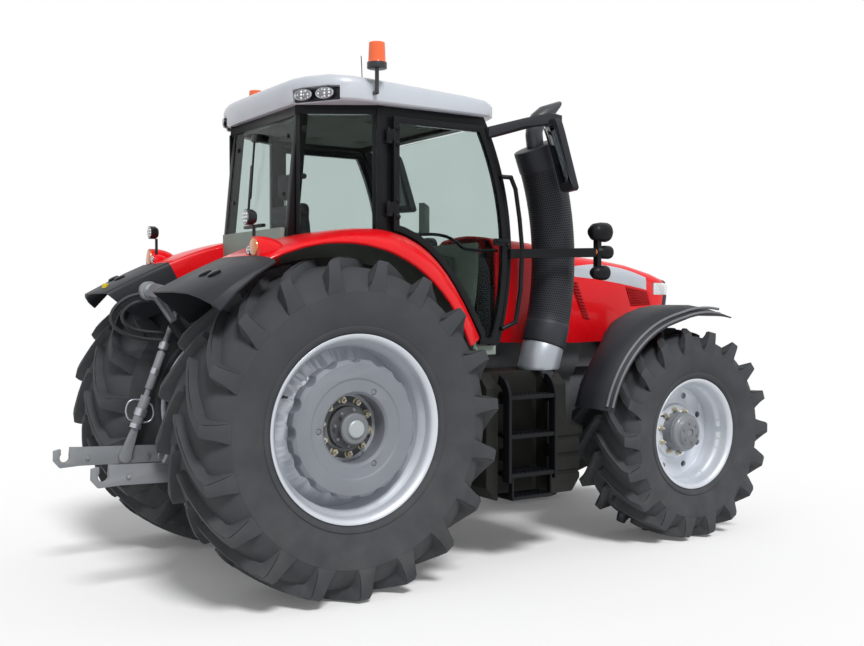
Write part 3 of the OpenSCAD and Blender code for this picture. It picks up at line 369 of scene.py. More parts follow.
axes = splitCoord(holes)
dx = calc("SUBTRACT", axes["X"], shield["x"] + rearAxleX)
dz = calc("SUBTRACT", axes["Z"], shield["z"])
dy = calc("SUBTRACT", calc("ABSOLUTE", axes["Y"]), -shield["y"])
reach = calc("SQRT", calc("ADD", calc("MULTIPLY", dx, dx), calc("MULTIPLY", dz, dz)))
turn = calc("ARCTAN2", dy, calc("SUBTRACT", reach, shield["reach"]))
lift = calc("ARCTAN2", dz, dx)
around = calc("DIVIDE", calc("MULTIPLY", turn, shield["tube"]), gIn["Pitch"])
along = calc("DIVIDE", calc("MULTIPLY", lift, shield["reach"]), gIn["Pitch"])
rowNo = calc("ADD", calc("FLOOR", along), 1000.0)
odd = calc("MULTIPLY", calc("MODULO", rowNo, 2.0), 0.5)
u = cellPlace(calc("ADD", around, odd))
v = cellPlace(along)
apart = calc("ADD", calc("MULTIPLY", u, u), calc("MULTIPLY", v, v))
hole = calc("LESS_THAN", apart, shield["holeSize"])
inLow = calc("GREATER_THAN", lift, math.radians(shield["holesFrom"]))
inHigh = calc("LESS_THAN", lift, math.radians(shield["holesTo"]))
feed(holes, gOut, dict(Mask=calc("MULTIPLY", hole, calc("MULTIPLY", inLow, inHigh))))

for name, source in (("bonnetRed", "redPaint"), ("frontRim", "rimSilver"), ("rearRim", "rimSilver")):
    finish[name] = finish[source].copy()
    finish[name].name = name
rearHub = (rearAxleX, 0, 1.015)
overlay("bonnetRed", sideBand, (0.47, 0.5, 0.55), rough=0.32)
overlay("frontRim", hubRound, (0.19, 0.2, 0.215), rough=0.5, metal=0.1,
    Centre=(2.89 + rearAxleX, 0, 0.78), Radius=0.149)
overlay("rearRim", hubRound, (0.065, 0.068, 0.074), rough=0.55, metal=0.1, Centre=rearHub, Radius=0.185)
overlay("rearRim", hubRound, (0.36, 0.39, 0.4), rough=0.4, metal=0.3, Centre=rearHub, Radius=0.0552)
overlay("beaconLens", heightSplit, (0.8, 0.13, 0.035), rough=0.12, Height=3.236)
overlay("pipeDark", heightSplit, (0.03, 0.032, 0.037), rough=0.38, metal=0.1, Height=2.6)
# the shield's holes are painted near-black: painted shade where the dark space behind the shield shows through
overlay("shieldBlack", holes, (0.004, 0.004, 0.005), rough=0.9)

# lamp lenses with a field of bright cells: base colour, cell colour and scale
lens = dict(rough=0.08, coat=0.8, coatRough=0.03, bump=0.4, depth=0.003, cell=0.36, random=0.15,
    kinds=dict(ledLens=((0.16, 0.17, 0.18), (0.85, 0.87, 0.88), 48),
        clearLens=((0.55, 0.57, 0.58), (0.86, 0.88, 0.9), 60),
        amberCell=((0.62, 0.16, 0.02), (0.9, 0.34, 0.05), 70)))
cells, gIn, gOut = newGroup("lensCells", ("Height", "Mask"), Scale=45.0)
dots = addNode(cells, "TexVoronoi", dict(Vector=objectCoord(cells), Scale=gIn["Scale"],
        Randomness=lens["random"]), feature="F1")
apart = dots.outputs["Distance"]
feed(cells, gOut, dict(Height=apart, Mask=addMath(cells, "LESS_THAN", apart, lens["cell"])))
for name, (base, cell, scale) in lens["kinds"].items():
    finish[name], tree, bsdf = newMaterial(name)
    c = placeGroup(tree, cells, Scale=scale)
    relief = addNode(tree, "Bump", dict(Strength=lens["bump"], Distance=lens["depth"], Height=c["Height"]))
    feed(tree, bsdf, {"Base Color": addMix(tree, c["Mask"], (*base, 1), (*cell, 1)),
            "Roughness": lens["rough"], "Coat Weight": lens["coat"],
            "Coat Roughness": lens["coatRough"], "Normal": relief.outputs[0]})

# tinted glass with a faint film
finish["cabGlass"], tree, bsdf = newMaterial("cabGlass")
film = placeGroup(tree, grain, Scale=40.0, Cloud_Scale=2.0)
filmTone = placeGroup(tree, twoTone, Tone=film["Tone"], Light=(0.665, 0.73, 0.712, 1),
    Dark=(0.64, 0.703, 0.688, 1), Rough_Low=0.015, Rough_High=0.04)
feed(tree, bsdf, {"Base Color": filmTone["Color"], "Roughness": filmTone["Roughness"],
        "Transmission Weight": 1.0, "IOR": 1.1})
print("finishes ready")


# building helpers

def spot(x, y, z, rx=0, ry=0, rz=0):
    turn = Euler((math.radians(rx), math.radians(ry), math.radians(rz))).to_matrix().to_4x4()
    return slide(x + rearAxleX, y, z) @ turn


def slide(x=0, y=0, z=0):
    return Matrix.Translation((x, y, z))


def roll(angle, axis="Y"):
    return Matrix.Rotation(math.radians(angle), 4, axis)


def newest(bm, before):
    return [v for v in bm.verts if v not in before]


def only(kind, geom):
    return [g for g in geom if isinstance(g, kind)]


# a closed profile of (radius, place along) turned about the local y axis
def addTurned(bm, profile, matrix, steps=32):
    before = set(bm.verts)
    verts = [bm.verts.new((r, y, 0)) for r, y in profile]
    edges = [bm.edges.new(p) for p in zip(verts, verts[1:] + verts[:1])]
    bmesh.ops.spin(bm, geom=verts + edges, cent=(0, 0, 0), axis=(0, 1, 0), angle=math.tau, steps=steps,
        use_merge=True)
    bmesh.ops.transform(bm, matrix=matrix, verts=newest(bm, before))


# a button or cap turned about the local y axis, from its foot to its top
def addCap(bm, profile, matrix, steps=24):
    middle = 0.0001
    addTurned(bm, [(middle, profile[0][1])] + profile + [(middle, profile[-1][1])], matrix, steps)


# a hexagon head along the local y axis
def addHex(bm, size, matrix):
    r, h = size
    addCap(bm, [(r, 0), (r, h * 0.8), (r * 0.86, h)], matrix, 6)


def addBlock(bm, size, matrix, edge=0.004, segments=2):
    made = bmesh.ops.create_cube(bm, size=1)["verts"]
    bmesh.ops.scale(bm, vec=size, verts=made)
    bmesh.ops.transform(bm, matrix=matrix, verts=made)
    edges = list({e for v in made for e in v.link_edges})
    bmesh.ops.bevel(bm, geom=edges, offset=edge, affect="EDGES", segments=segments, profile=0.5, material=-1)


# a mesh or curve as an object on its body
def setDown(name, data, mat, body, covers=()):
    data.materials.append(finish[mat])
    obj = linked(name, data)
    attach(obj, body)
    if covers:
        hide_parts(*covers)
    return obj


def newCurve(name, kind, count, radius, roundness):
    data = bpy.data.curves.new(name, "CURVE")
    data.dimensions = "3D"
    data.bevel_depth = radius
    data.bevel_resolution = roundness
    data.use_fill_caps = True
    line = data.splines.new(kind)
    points = line.bezier_points if kind == "BEZIER" else line.points
    points.add(count - 1)
    return data, points


# a round bar along points, as a curve
def addWire(name, places, radius, mat, body="chassis", handles="AUTO"):
    data, points = newCurve(name, "BEZIER", len(places), radius, 3)
    data.resolution_u = 6
    for p, (x, y, z) in zip(points, places):
        p.co = (x + rearAxleX, y, z)
        p.handle_left_type = p.handle_right_type = handles
    setDown(name, data, mat, body)


def smooth(mesh):
    mesh.polygons.foreach_set("use_smooth", [True] * len(mesh.polygons))


def toMesh(name, bm, sharp):
    mesh = bpy.data.meshes.new(name)
    bm.to_mesh(mesh)
    bm.free()
    smooth(mesh)
    mesh.set_sharp_from_angle(angle=math.radians(sharp))
    return mesh


def makePiece(name, bm, mat, body="chassis", sharp=35, covers=()):
    bmesh.ops.remove_doubles(bm, verts=bm.verts, dist=0.00015)
    bmesh.ops.recalc_face_normals(bm, faces=bm.faces)
    return setDown(name, toMesh(name, bm, sharp), mat, body, covers)


# rows of (how to add, its form, left-hand places, further settings); a turn about z is mirrored too
def addRows(bm, rows, on):
    for side in on:
        for add, form, places, *rest in rows:
            for x, y, z, *turns in places:
                if len(turns) == 3 and side < 0:
                    turns[2] = 180 - turns[2]
                add(bm, form, spot(x, side * y, z, *turns), *rest)


def makeSet(name, mat, rows, body="chassis", on=(1,)):
    bm = bmesh.new()
    addRows(bm, rows, on)
    makePiece(name, bm, mat, body)


skinForm = dict(weld=0.0002, flat=0.6, stray=1.5)


# a merged copy of a CAD node, with its flat faces whole
def mergedCopy(node):
    bm = bmesh.new()
    bm.from_mesh(nodes[node].data)
    bmesh.ops.remove_doubles(bm, verts=bm.verts, dist=skinForm["weld"])
    bmesh.ops.dissolve_limit(bm, angle_limit=math.radians(skinForm["flat"]), verts=bm.verts, edges=bm.edges)
    return bm


def hardEdges(edges, angle):
    return [e for e in edges if len(e.link_faces) == 2 and e.calc_face_angle(0) > math.radians(angle)]


# a smooth skin over a CAD node, with rounded edges where the bevel stays on its surface
def soften(node, mat, edge, sharp=38):
    bm = mergedCopy(node)
    if edge:
        surface = BVHTree.FromBMesh(bm)
        bmesh.ops.bevel(bm, geom=hardEdges(bm.edges, sharp), offset=edge, affect="EDGES", segments=2,
            profile=0.5, material=-1, clamp_overlap=True)
        if any(surface.find_nearest(v.co)[3] > skinForm["stray"] * edge for v in bm.verts):
            print(node, "keeps its sharp edges")
            bm.free()
            bm = mergedCopy(node)
    name = node + "Skin"
    setDown(name, toMesh(name, bm, sharp), mat, body_of(nodes[node])[0], [node])


# skins over the CAD nodes: finish, rounding and slot
skins = [
    ("redPaint", 0.004, "red_paint", "rear_fenders"),
    ("bonnetRed", 0.004, "red_paint", "bonnet"),
    ("roofGrey", 0.008, "roof_grey", "roof"),
    ("mouldedBlack", 0.004, "black_plastic", "fender_extensions front_fender_left "
        "front_fender_right grille"),
    ("mouldedBlack", 0.006, "black_plastic", "cowl mirrors"),
    ("trimGrey", 0.006, "black_plastic", "cab_floor"),
    ("trimDark", 0.006, "black_plastic", "steering_column side_console"),
    ("frameBlack", 0.004, "black_metal", "cab_frame door_frame_left door_frame_right steps"),
    ("frameBlack", 0.0, "black_metal", "cab_rails lift_cylinders"),
    ("tankBlack", 0.014, "tank_plastic", "right_tank left_box"),
    ("castGrey", 0.006, "cast", "transmission rear_axle engine front_support front_axle "
        "hitch_frame knuckle_left knuckle_right tie_rod"),
    ("linkGrey", 0.005, "iron", "lift_arms lower_links lift_rods"),
    ("steelPlain", 0.0, "steel", "lift_pistons"),
    ("pipeDark", 0.003, "steel", "exhaust_pipe"),
    ("beaconLens", 0.004, "amber", "beacons"),
    ("clearLens", 0.004, "lens", "head_lamps"),
    ("rearRim", 0.002, "rim", "rear_rim_left rear_rim_right"),
    ("frontRim", 0.002, "rim", "front_rim_left front_rim_right"),
    ("weightGrey", 0.006, "iron", "wheel_weight_left wheel_weight_right"),
]
for mat, edge, slot, names in skins:
    for node in names.split():
        soften(node, mat, edge)
for node in ("windscreen", "cab_glass", "door_glass_left", "door_glass_right"):
    panes = nodes[node].data.materials
    panes.clear()
    panes.append(finish["cabGlass"])
print("skins made")


# tyres: a turned carcass and bevelled lugs down onto the sidewall

tyres = dict(
    rear=dict(x=0.0, y=0.895, r=1.015, w=0.71, flange=0.56, bead=0.533, rimW=0.604, lugs=19, lugH=0.052, lag=21),
    front=dict(x=2.89, y=0.905, r=0.78, w=0.59, flange=0.408, bead=0.384, rimW=0.49, lugs=18, lugH=0.05, lag=21))
# the bead from the rim's edge, the wall as (share, inset), the crown as (drop, share of the width)
carcass = dict(
    bead=[(-0.012, -0.014), (0.004, -0.008), (0.014, 0.006), (0.034, 0.016), (0.042, 0.016), (0.048, 0.01),
        (0.054, 0.012)],
    wall=[(0.22, 0.019), (0.36, 0.009), (0.47, 0.005), (0.545, 0.005), (0.565, 0.012), (0.66, 0.036),
        (0.76, 0.064)],
    crown=[(0.03, 0.37), (0.01, 0.28), (0.003, 0.15)], beadIn=0.03, steps=96, lugRoot=0.02, lugEdge=0.005)


def onWheel(r, turn, y):
    return Vector((r * math.sin(turn), y, r * math.cos(turn)))


def makeTyre(kind, side, word):
    t, form = tyres[kind], carcass
    r, w, flange, half = t["r"], t["w"], t["flange"], t["rimW"] / 2
    base = r - t["lugH"]

    def onWall(share):
        return flange + share * (r - flange)

    outer = [(t["bead"], half - form["beadIn"])]
    outer += [(flange + a, half + b) for a, b in form["bead"]]
    outer += [(onWall(a), w / 2 - b) for a, b in form["wall"]]
    outer += [(base - a, b * w) for a, b in form["crown"]]
    bm = bmesh.new()
    addTurned(bm, outer + [(base, 0)] + [(a, -b) for a, b in reversed(outer)], Matrix.Identity(4), form["steps"])
    # one lug: sections from the middle out, as top (radius, across), foot and half widths
    lag = math.radians(t["lag"])
    root = base - form["lugRoot"]
    runs = [(0.06, (r - 0.004, -0.02 * w), (root, -0.02 * w), 0.016, 0.026),
        (0.0, (r, 0.03 * w), (root, 0.03 * w), 0.025, 0.04),
        (-0.24, (r - 0.001, 0.12 * w), (root, 0.12 * w), 0.027, 0.043),
        (-0.46, (r - 0.003, 0.21 * w), (root, 0.21 * w), 0.029, 0.046),
        (-0.66, (r - 0.006, 0.3 * w), (root, 0.3 * w), 0.032, 0.05),
        (-0.83, (r - 0.011, 0.4 * w), (onWall(0.8), 0.35 * w), 0.034, 0.054),
        (-0.945, (r - 0.02, 0.482 * w), (onWall(0.75), 0.36 * w), 0.036, 0.06),
        (-0.97, (r - 0.045, 0.495 * w), (onWall(0.7), 0.37 * w), 0.039, 0.066),
        (-0.985, (onWall(0.76), 0.499 * w), (onWall(0.65), 0.38 * w), 0.044, 0.072),
        (-1.0, (onWall(0.66), 0.498 * w), (onWall(0.59), 0.41 * w), 0.051, 0.076),
        (-1.01, (onWall(0.548), 0.4918 * w), (onWall(0.53), 0.45 * w), 0.058, 0.072)]
    face = None
    before = set(bm.verts)
    tops = set()
    for share, (topR, topY), (footR, footY), topHalf, footHalf in runs:
        a = lag * share
        places = [onWheel(footR, a - footHalf / footR, footY), onWheel(topR, a - topHalf / topR, topY),
            onWheel(topR, a + topHalf / topR, topY), onWheel(footR, a + footHalf / footR, footY)]
        if face is None:
            face = bm.faces.new([bm.verts.new(p) for p in places])
        else:
            made = bmesh.ops.extrude_face_region(bm, geom=[face])["geom"]
            face = only(bmesh.types.BMFace, made)[0]
            for v, p in zip(face.verts, places):
                v.co = p
        tops |= {face.verts[1], face.verts[2]}
    rims = [e for v in newest(bm, before) for e in v.link_edges if e.is_boundary]
    bmesh.ops.holes_fill(bm, edges=rims, sides=4)
    upper = {e for v in tops for e in v.link_edges if e.other_vert(v) in tops}
    bmesh.ops.bevel(bm, geom=hardEdges(upper, 28), offset=form["lugEdge"], affect="EDGES", segments=2, profile=0.5,
        material=-1, clamp_overlap=True)
    lug = list({f for v in newest(bm, before) for f in v.link_faces})
    step = 360 / t["lugs"]
    for i in range(t["lugs"]):
        for mirrored in (False, True):
            if i == 0 and not mirrored:
                continue
            verts = only(bmesh.types.BMVert, bmesh.ops.duplicate(bm, geom=lug)["geom"])
            if mirrored:
                bmesh.ops.scale(bm, vec=(1, -1, 1), verts=verts)
            bmesh.ops.transform(bm, matrix=roll(step * (i + (0.5 if mirrored else 0))), verts=verts)
    bmesh.ops.transform(bm, matrix=spot(t["x"], side * t["y"], r), verts=bm.verts)
    place = word.lower()
    makePiece(kind + "Tyre" + word, bm, "tyreRubber", kind + "_wheel_" + place, 32,
        [kind + "_tyre_" + place])


for side, word in sides:
    makeTyre("rear", side, word)
    makeTyre("front", side, word)
print("tyres made")


# wheel fittings: nuts, hub rings, plugs and valves

nut = dict(count=10, start=0.3, washer=1.35, washerH=0.004, headH=0.022,
    stud=[(0.009, 0.02), (0.009, 0.042), (0.006, 0.046)])
valve = dict(turn=205, drop=0.036, inset=0.075, profile=[(0.011, -0.03), (0.011, 0.01), (0.006, 0.012),
        (0.006, 0.045), (0.0075, 0.047), (0.0075, 0.06)])
plug = dict(at=0.244, profile=[(0.017, 0.24), (0.017, 0.266), (0.012, 0.27)])
wheels = dict(
    rear=dict(ring=0.162, nutR=0.02, face=0.14, plugs=(60, 180, 300),
        rings=[(48, [(0.128, 0.138), (0.15, 0.138), (0.15, 0.146), (0.142, 0.152), (0.128, 0.152)]),
        (40, [(0.0545, 0.232), (0.088, 0.232), (0.092, 0.238), (0.092, 0.262), (0.084, 0.27),
        (0.0545, 0.27)])],
        bolts=dict(count=8, start=10, at=0.108, face=0.206, head=(0.01, 0.012))),
    front=dict(ring=0.166, nutR=0.017, face=0.046, plugs=(),
        rings=[(40, [(0.1, 0.184), (0.1, 0.19), (0.094, 0.194), (0.03, 0.194), (0.03, 0.184)]),
        (48, [(0.141, 0.12), (0.146, 0.122), (0.146, 0.132), (0.14, 0.136), (0.136, 0.128)])],
        bolts=dict(count=6, start=20, at=0.072, face=0.193, head=(0.009, 0.01))))
for side, word in sides:
    for kind in ("rear", "front"):
        w, t = wheels[kind], tyres[kind]
        body = kind + "_wheel_" + word.lower()
        centre = spot(t["x"], side * t["y"], t["r"]) @ Matrix.Diagonal((1, side, 1, 1))
        bm = bmesh.new()
        for i in range(nut["count"]):
            at = centre @ roll(360 * (i + nut["start"]) / nut["count"]) @ slide(w["ring"], w["face"])
            washerR = w["nutR"] * nut["washer"]
            addCap(bm, [(washerR, 0), (washerR, nut["washerH"])], at, 16)
            addHex(bm, (w["nutR"], nut["headH"]), at @ slide(0, nut["washerH"]))
            addCap(bm, nut["stud"], at, 10)
        makePiece(kind + "Nuts" + word, bm, "zincBolt", body)
        bm = bmesh.new()
        for steps, profile in w["rings"]:
            addTurned(bm, profile, centre, steps)
        for angle in w["plugs"]:
            addCap(bm, plug["profile"], centre @ roll(angle) @ slide(plug["at"]), 20)
        bolts = w["bolts"]
        for i in range(bolts["count"]):
            at = centre @ roll(i * 360 / bolts["count"] + bolts["start"]) @ slide(bolts["at"], bolts["face"])
            addHex(bm, bolts["head"], at)
        makePiece(kind + "Hub" + word, bm, "hubGrey", body)
        bm = bmesh.new()
        at = slide(t["bead"] - valve["drop"], t["rimW"] / 2 - valve["inset"])
        addCap(bm, valve["profile"], centre @ roll(valve["turn"]) @ at, 14)
        makePiece(kind + "Valve" + word, bm, "hoseRubber", body)
print("wheel fittings made")


# exhaust shield: a round turned along its bow, with rolled collars

bm = bmesh.new()
rings = []
runs = shield["runs"]
for i, (bend, radius) in enumerate(runs):
    steps = shield["longSteps"] if i == shield["longRun"] else 1
    start = runs[i - 1][0] if i else bend
    for k in range(1, steps + 1):
        turn = start + (bend - start) * k / steps
        at = spot(shield["x"], shield["y"], shield["z"], 0, -turn) @ slide(shield["reach"])
        made = bmesh.ops.create_circle(bm, cap_ends=False, segments=64, radius=radius, matrix=at)["verts"]
        rings.append(list({e for v in made for e in v.link_edges}))
for a, b in zip(rings, rings[1:]):
    bmesh.ops.bridge_loops(bm, edges=a + b)
bmesh.ops.holes_fill(bm, edges=bm.edges, sides=64)
makePiece("exhaustShield", bm, "shieldBlack", sharp=40, covers=["exhaust_shield"])
print("exhaust made")


# lamps: roof corners, fender pods and lamp bars

lamp = dict(roof=(0.015, 0.666, 3.0, 0, 0, 58.7), oval=(0.064, 1, 0.036, 1), pair=(-0.078, 0.078), up=0.044,
    box=(0.32, 0.016, 0.076), boxOut=0.0085, cup=[(0.78, 0.012), (1.0, 0.034), (1.02, 0.047)],
    lens=[(0.86, 0), (0.84, 0.008), (0.6, 0.013), (0.3, 0.015)], lensOut=0.046,
    rim=[(0.86, 0), (1.0, 0), (1.0, 0.008), (0.95, 0.012), (0.86, 0.01)])
pod = dict(domes=[((0.17, 0.075, 0.085), (-0.5, 0.918, 2.055)), ((0.09, 0.045, 0.052), (-0.505, 0.848, 2.045))],
    cuts=[((-0.53, 0, 0), (-1, 0, 0)), ((-0.53, 0, 2.008), (0.447, 0, -0.894))],
    stalks=[(addCap, [(0.01, 0), (0.01, 0.11)], [(-0.5, 0.85, 2.1, 90)], 16),
        (addCap, [(0.018, -0.012), (0.034, -0.006), (0.046, 0.014), (0.046, 0.052)],
        [(-0.4995, 0.85, 2.252, 0, 0, 90)], 36)])
lenses = dict(
    barLens=("ledLens", "lens", [(addCap, [(0.86 * r, 0), (0.82 * r, 0.005), (0.4 * r, 0.009)],
        [(x, 1.09, z, 0, 0, -90)], 36) for x, z, r in ((2.048, 2.241, 0.068), (2.041, 1.96, 0.052))]),
    turnLens=("amberCell", "amber", [
        (addCap, [(0.022, 0), (0.02, 0.006), (0.015, 0.009)], [(1.949, 1.09, 2.103, 0, 0, 90)], 30),
        (addCap, [(0.042, 0), (0.036, 0.006), (0.015, 0.009)], [(2.075, 1.09, 2.103, 0, 0, -90)], 30),
        (addCap, [(0.054, -0.004), (0.051, 0.006), (0.03, 0.012)], [(-0.53, 0.918, 2.076, 0, 0, 90)], 32)]),
    stalkLens=("ledLens", "lens", [
        (addCap, [(0.041, 0), (0.039, 0.005), (0.02, 0.009)], [(-0.551, 0.85, 2.252, 0, 0, 90)], 36),
        (addCap, [(0.026, -0.004), (0.024, 0.005), (0.014, 0.008)], [(-0.531, 0.845, 2.06, 0, 0, 90)], 28)]))


def roofPlace(side, x, y):
    return Matrix.Diagonal((1, side, 1, 1)) @ spot(*lamp["roof"]) @ slide(x, y, lamp["up"])


oval = Matrix.Diagonal(lamp["oval"])
housing = bmesh.new()
pods = bmesh.new()
for side in (1, -1):
    addBlock(housing, lamp["box"], roofPlace(side, 0, lamp["boxOut"]), 0.006, 3)
    for x in lamp["pair"]:
        addCap(housing, lamp["cup"], roofPlace(side, x, 0) @ oval, 40)
    for size, (x, y, z) in pod["domes"]:
        at = spot(x, side * y, z) @ Matrix.Diagonal((*size, 1))
        made = bmesh.ops.create_uvsphere(pods, u_segments=36, v_segments=24, radius=1, matrix=at)["verts"]
        for (x, y, z), normal in pod["cuts"]:
            made = [v for v in made if v.is_valid]
            geom = list({g for v in made for g in (v, *v.link_edges, *v.link_faces)})
            cut = bmesh.ops.bisect_plane(pods, geom=geom, dist=0.00001, plane_co=(x + rearAxleX, y, z),
                plane_no=normal, clear_outer=True)["geom_cut"]
            bmesh.ops.holes_fill(pods, edges=only(bmesh.types.BMEdge, cut), sides=0)
            made += only(bmesh.types.BMVert, cut)
addRows(housing, pod["stalks"], [1, -1])
makePiece("lampHousings", housing, "lampBlack", covers=["work_lamps"])
makePiece("lampPods", pods, "redPaint")
for side, word in sides:
    bm = bmesh.new()
    rims = bmesh.new()
    for x in lamp["pair"]:
        at = roofPlace(side, x, lamp["lensOut"]) @ oval
        addCap(bm, lamp["lens"], at, 40)
        addTurned(rims, lamp["rim"], at, 40)
    makePiece("roofLens" + word, bm, "ledLens")
    makePiece("roofLampRim" + word, rims, "steelPlain")
    for name, (mat, slot, rows) in lenses.items():
        makeSet(name + word, mat, rows, on=[side])
print("lamps made")


# mirror glass on the rear faces

mirror = dict(at=(1.63, 1.056, 2.745), yaw=math.degrees(math.atan(0.3)), lean=0.34, size=(0.006, 0.17, 0.39))
for side, word in sides:
    bm = bmesh.new()
    addBlock(bm, mirror["size"], Matrix.Identity(4), 0.002)
    for v in bm.verts:
        v.co.x -= mirror["lean"] * v.co.z
    x, y, z = mirror["at"]
    at = spot(x, side * y, z, 0, 0, side * mirror["yaw"])
    bmesh.ops.transform(bm, matrix=at, verts=bm.verts)
    makePiece("mirrorGlass" + word, bm, "mirrorFace")
print("mirrors made")


# doors: handle, lock, hinge bolts and an inner bar

door = dict(
    fittings=[(addBlock, (0.13, 0.012, 0.05), [(1.298, 0.872, 2.16)], 0.005, 3),
        (addBlock, (0.1, 0.014, 0.018), [(1.298, 0.881, 2.166)], 0.004, 3),
        (addCap, [(0.012, 0), (0.012, 0.012), (0.008, 0.015)], [(1.345, 0.876, 2.14, 0, 0, 0)], 18),
        (addCap, [(0.016, 0), (0.016, 0.007), (0.01, 0.012)],
        [(0.492, 0.842, z, 0, 0, 0) for z in (2.3, 2.4, 2.76, 2.86)], 20)],
    bar=[(0.5, 0.8, 2.27), (0.515, 0.786, 2.235), (0.55, 0.785, 2.208), (0.62, 0.785, 2.198), (0.88, 0.785, 2.194),
        (0.97, 0.785, 2.162), (1.04, 0.785, 2.118), (1.11, 0.785, 2.108), (1.29, 0.786, 2.108), (1.315, 0.8, 2.108)],
    barR=0.011)
for side, word in sides:
    body = "door_" + word.lower()
    makeSet("doorFittings" + word, "frameBlack", door["fittings"], body, [side])
    bar = [(x, side * y, z) for x, y, z in door["bar"]]
    addWire("doorBar" + word, bar, door["barR"], "frameBlack", body)

# seals between the pillars and the doors, window bolts and the rear wiper
window = dict(
    sealY=0.789, sealR=0.01, lintel=[(0.46, 2.937), (1.15, 2.937)], bow=(1.847, -0.477, 2.081),
    bowTurns=range(27, -22, -4),
    sill=[(0.3, 2.226), (0.72, 2.226), (0.906, 1.946), (1.142, 1.535)], sillFrom=3, sillSteps=20,
    fittings=[(addBlock, (0.034, 0.012, 0.86), [(0.462, 0.792, 2.54)], 0.003),
        (addBlock, (0.024, 0.016, 0.8),
        [(-0.058, 0.5345, 2.545, 0, 0, math.degrees(math.atan2(0.261, 0.426)))], 0.003),
        (addCap, [(0.018, 0), (0.018, 0.006), (0.011, 0.012)],
        [(-0.03, 0.56, z, 0, 0, 31) for z in (2.85, 2.55, 2.32)], 20),
        (addCap, [(0.015, 0), (0.015, 0.006), (0.009, 0.012)],
        [(-0.0587, 0.4, 2.82, 0, 0, 90), (-0.092, 0.4, 2.45, 0, 0, 90)], 20)],
    wiper=[(addBlock, (0.05, 0.09, 0.05), [(-0.075, 0.05, 2.86)], 0.008),
        (addBlock, (0.012, 0.016, 0.42), [(-0.108, 0.05, 2.66, 0, 4.5)], 0.003),
        (addBlock, (0.012, 0.02, 0.36), [(-0.118, 0.075, 2.5, 0, 4.5)], 0.003),
        (addBlock, (0.03, 0.3, 0.022), [(-0.128, -0.02, 2.262)], 0.006)])
reach, bowX, bowZ = window["bow"]
turns = [math.radians(a) for a in window["bowTurns"]]
arch = window["lintel"] + [(reach * math.cos(a) + bowX, reach * math.sin(a) + bowZ) for a in turns]
sill = interpolate_bezier(*[Vector((x, z, 0)) for x, z in window["sill"]], window["sillSteps"])
sillLine = [(p.x, p.y) for p in sill[window["sillFrom"]:]]
for side, word in sides:
    for name, line, handles in (("doorSeal", arch, "VECTOR"), ("sillSeal", sillLine, "AUTO")):
        addWire(name + word, [(x, side * window["sealY"], z) for x, z in line], window["sealR"], "hoseRubber",
            handles=handles)
bm = bmesh.new()
addRows(bm, window["fittings"], [1, -1])
addRows(bm, window["wiper"], [1])
makePiece("rearWindowFittings", bm, "frameBlack")
print("door and window fittings made")


# bonnet sides: a mesh panel in the vent and louvres in a slanted recess; beads on the front fenders

vent = dict(corners=[(2.945, 1.874), (3.193, 1.836), (3.23, 1.729), (3.0, 1.719)], rows=7, cols=12,
    rowY=(0.3545, 0.3375), colY=(0.353, 0.336), bar=0.006, colDeep=0.005)
louvre = dict(count=12, size=(0.066, 0.016, 0.016), first=(2.372, 0.385, 1.905), last=(2.497, 0.3795, 1.635), turn=12)
lip = dict(hub=(2.89, 0.78), turns=range(74, 167, 6), start=0.9249, fall=0.0129, low=0.869,
    wires=[("Bead", 0, 1.149, 0.009), ("Edge", 0.034, 1.127, 0.01)])
lipLine = [(math.radians(a), max(lip["low"], lip["start"] - lip["fall"] * i)) for i, a in enumerate(lip["turns"])]
corners = [Vector(c) for c in vent["corners"]]
first, last, gaps = Vector(louvre["first"]), Vector(louvre["last"]), louvre["count"] - 1
slats = [(addBlock, louvre["size"],
    [(*first.lerp(last, i / gaps), 0, louvre["turn"]) for i in range(gaps + 1)], 0.003)]
for side, word in sides:
    bm = bmesh.new()
    for count, across, (y0, y1) in ((vent["rows"], True, vent["rowY"]), (vent["cols"], False, vent["colY"])):
        c0, c1, c2, c3 = [corners[k] for k in ((0, 3, 1, 2) if across else (0, 1, 3, 2))]
        for i in range(count):
            t = (i + 0.5) / count
            a, b = c0.lerp(c1, t), c2.lerp(c3, t)
            mid, run = (a + b) / 2, b - a
            if across:
                size = (run.length, vent["bar"], vent["bar"])
                y, lean = (y0 + y1) / 2, math.atan2(run.y, run.x)
                yaw = side * math.degrees(math.atan2(y1 - y0, run.x))
            else:
                size = (vent["bar"], vent["colDeep"], run.length)
                y, lean, yaw = y0 + (y1 - y0) * t, math.atan2(run.x, -run.y), 0
            addBlock(bm, size, spot(mid.x, side * y, mid.y, 0, -math.degrees(lean), yaw), 0.001, 1)
    makePiece("ventMesh" + word, bm, "ventRed", "bonnet")
    makeSet("sideLouvre" + word, "ventRed", slats, "bonnet", [side])
    x, z = lip["hub"]
    for tag, out, y, radius in lip["wires"]:
        wire = [(x + (r + out) * math.cos(a), side * y, z + (r + out) * math.sin(a)) for a, r in lipLine]
        addWire("fender" + tag + word, wire, radius, "lipGrey", "knuckle_" + word.lower())
print("bonnet details made")


# hitch: hoses from arm to rod, turnbuckle handles, bolts and pins

hose = dict(diameter=0.026, runs=[
        [(-0.705, 0.366, 1.815), (-0.76, 0.374, 1.813), (-0.85, 0.385, 1.79), (-0.93, 0.395, 1.73),
        (-0.962, 0.4, 1.66), (-0.935, 0.402, 1.59), (-0.855, 0.402, 1.54), (-0.76, 0.4, 1.515),
        (-0.685, 0.398, 1.504), (-0.617, 0.396, 1.5)],
        [(-0.715, 0.366, 1.77), (-0.77, 0.384, 1.764), (-0.835, 0.405, 1.735), (-0.878, 0.418, 1.685),
        (-0.872, 0.421, 1.625), (-0.815, 0.42, 1.58), (-0.74, 0.414, 1.56), (-0.67, 0.404, 1.553),
        (-0.61, 0.396, 1.55)]])


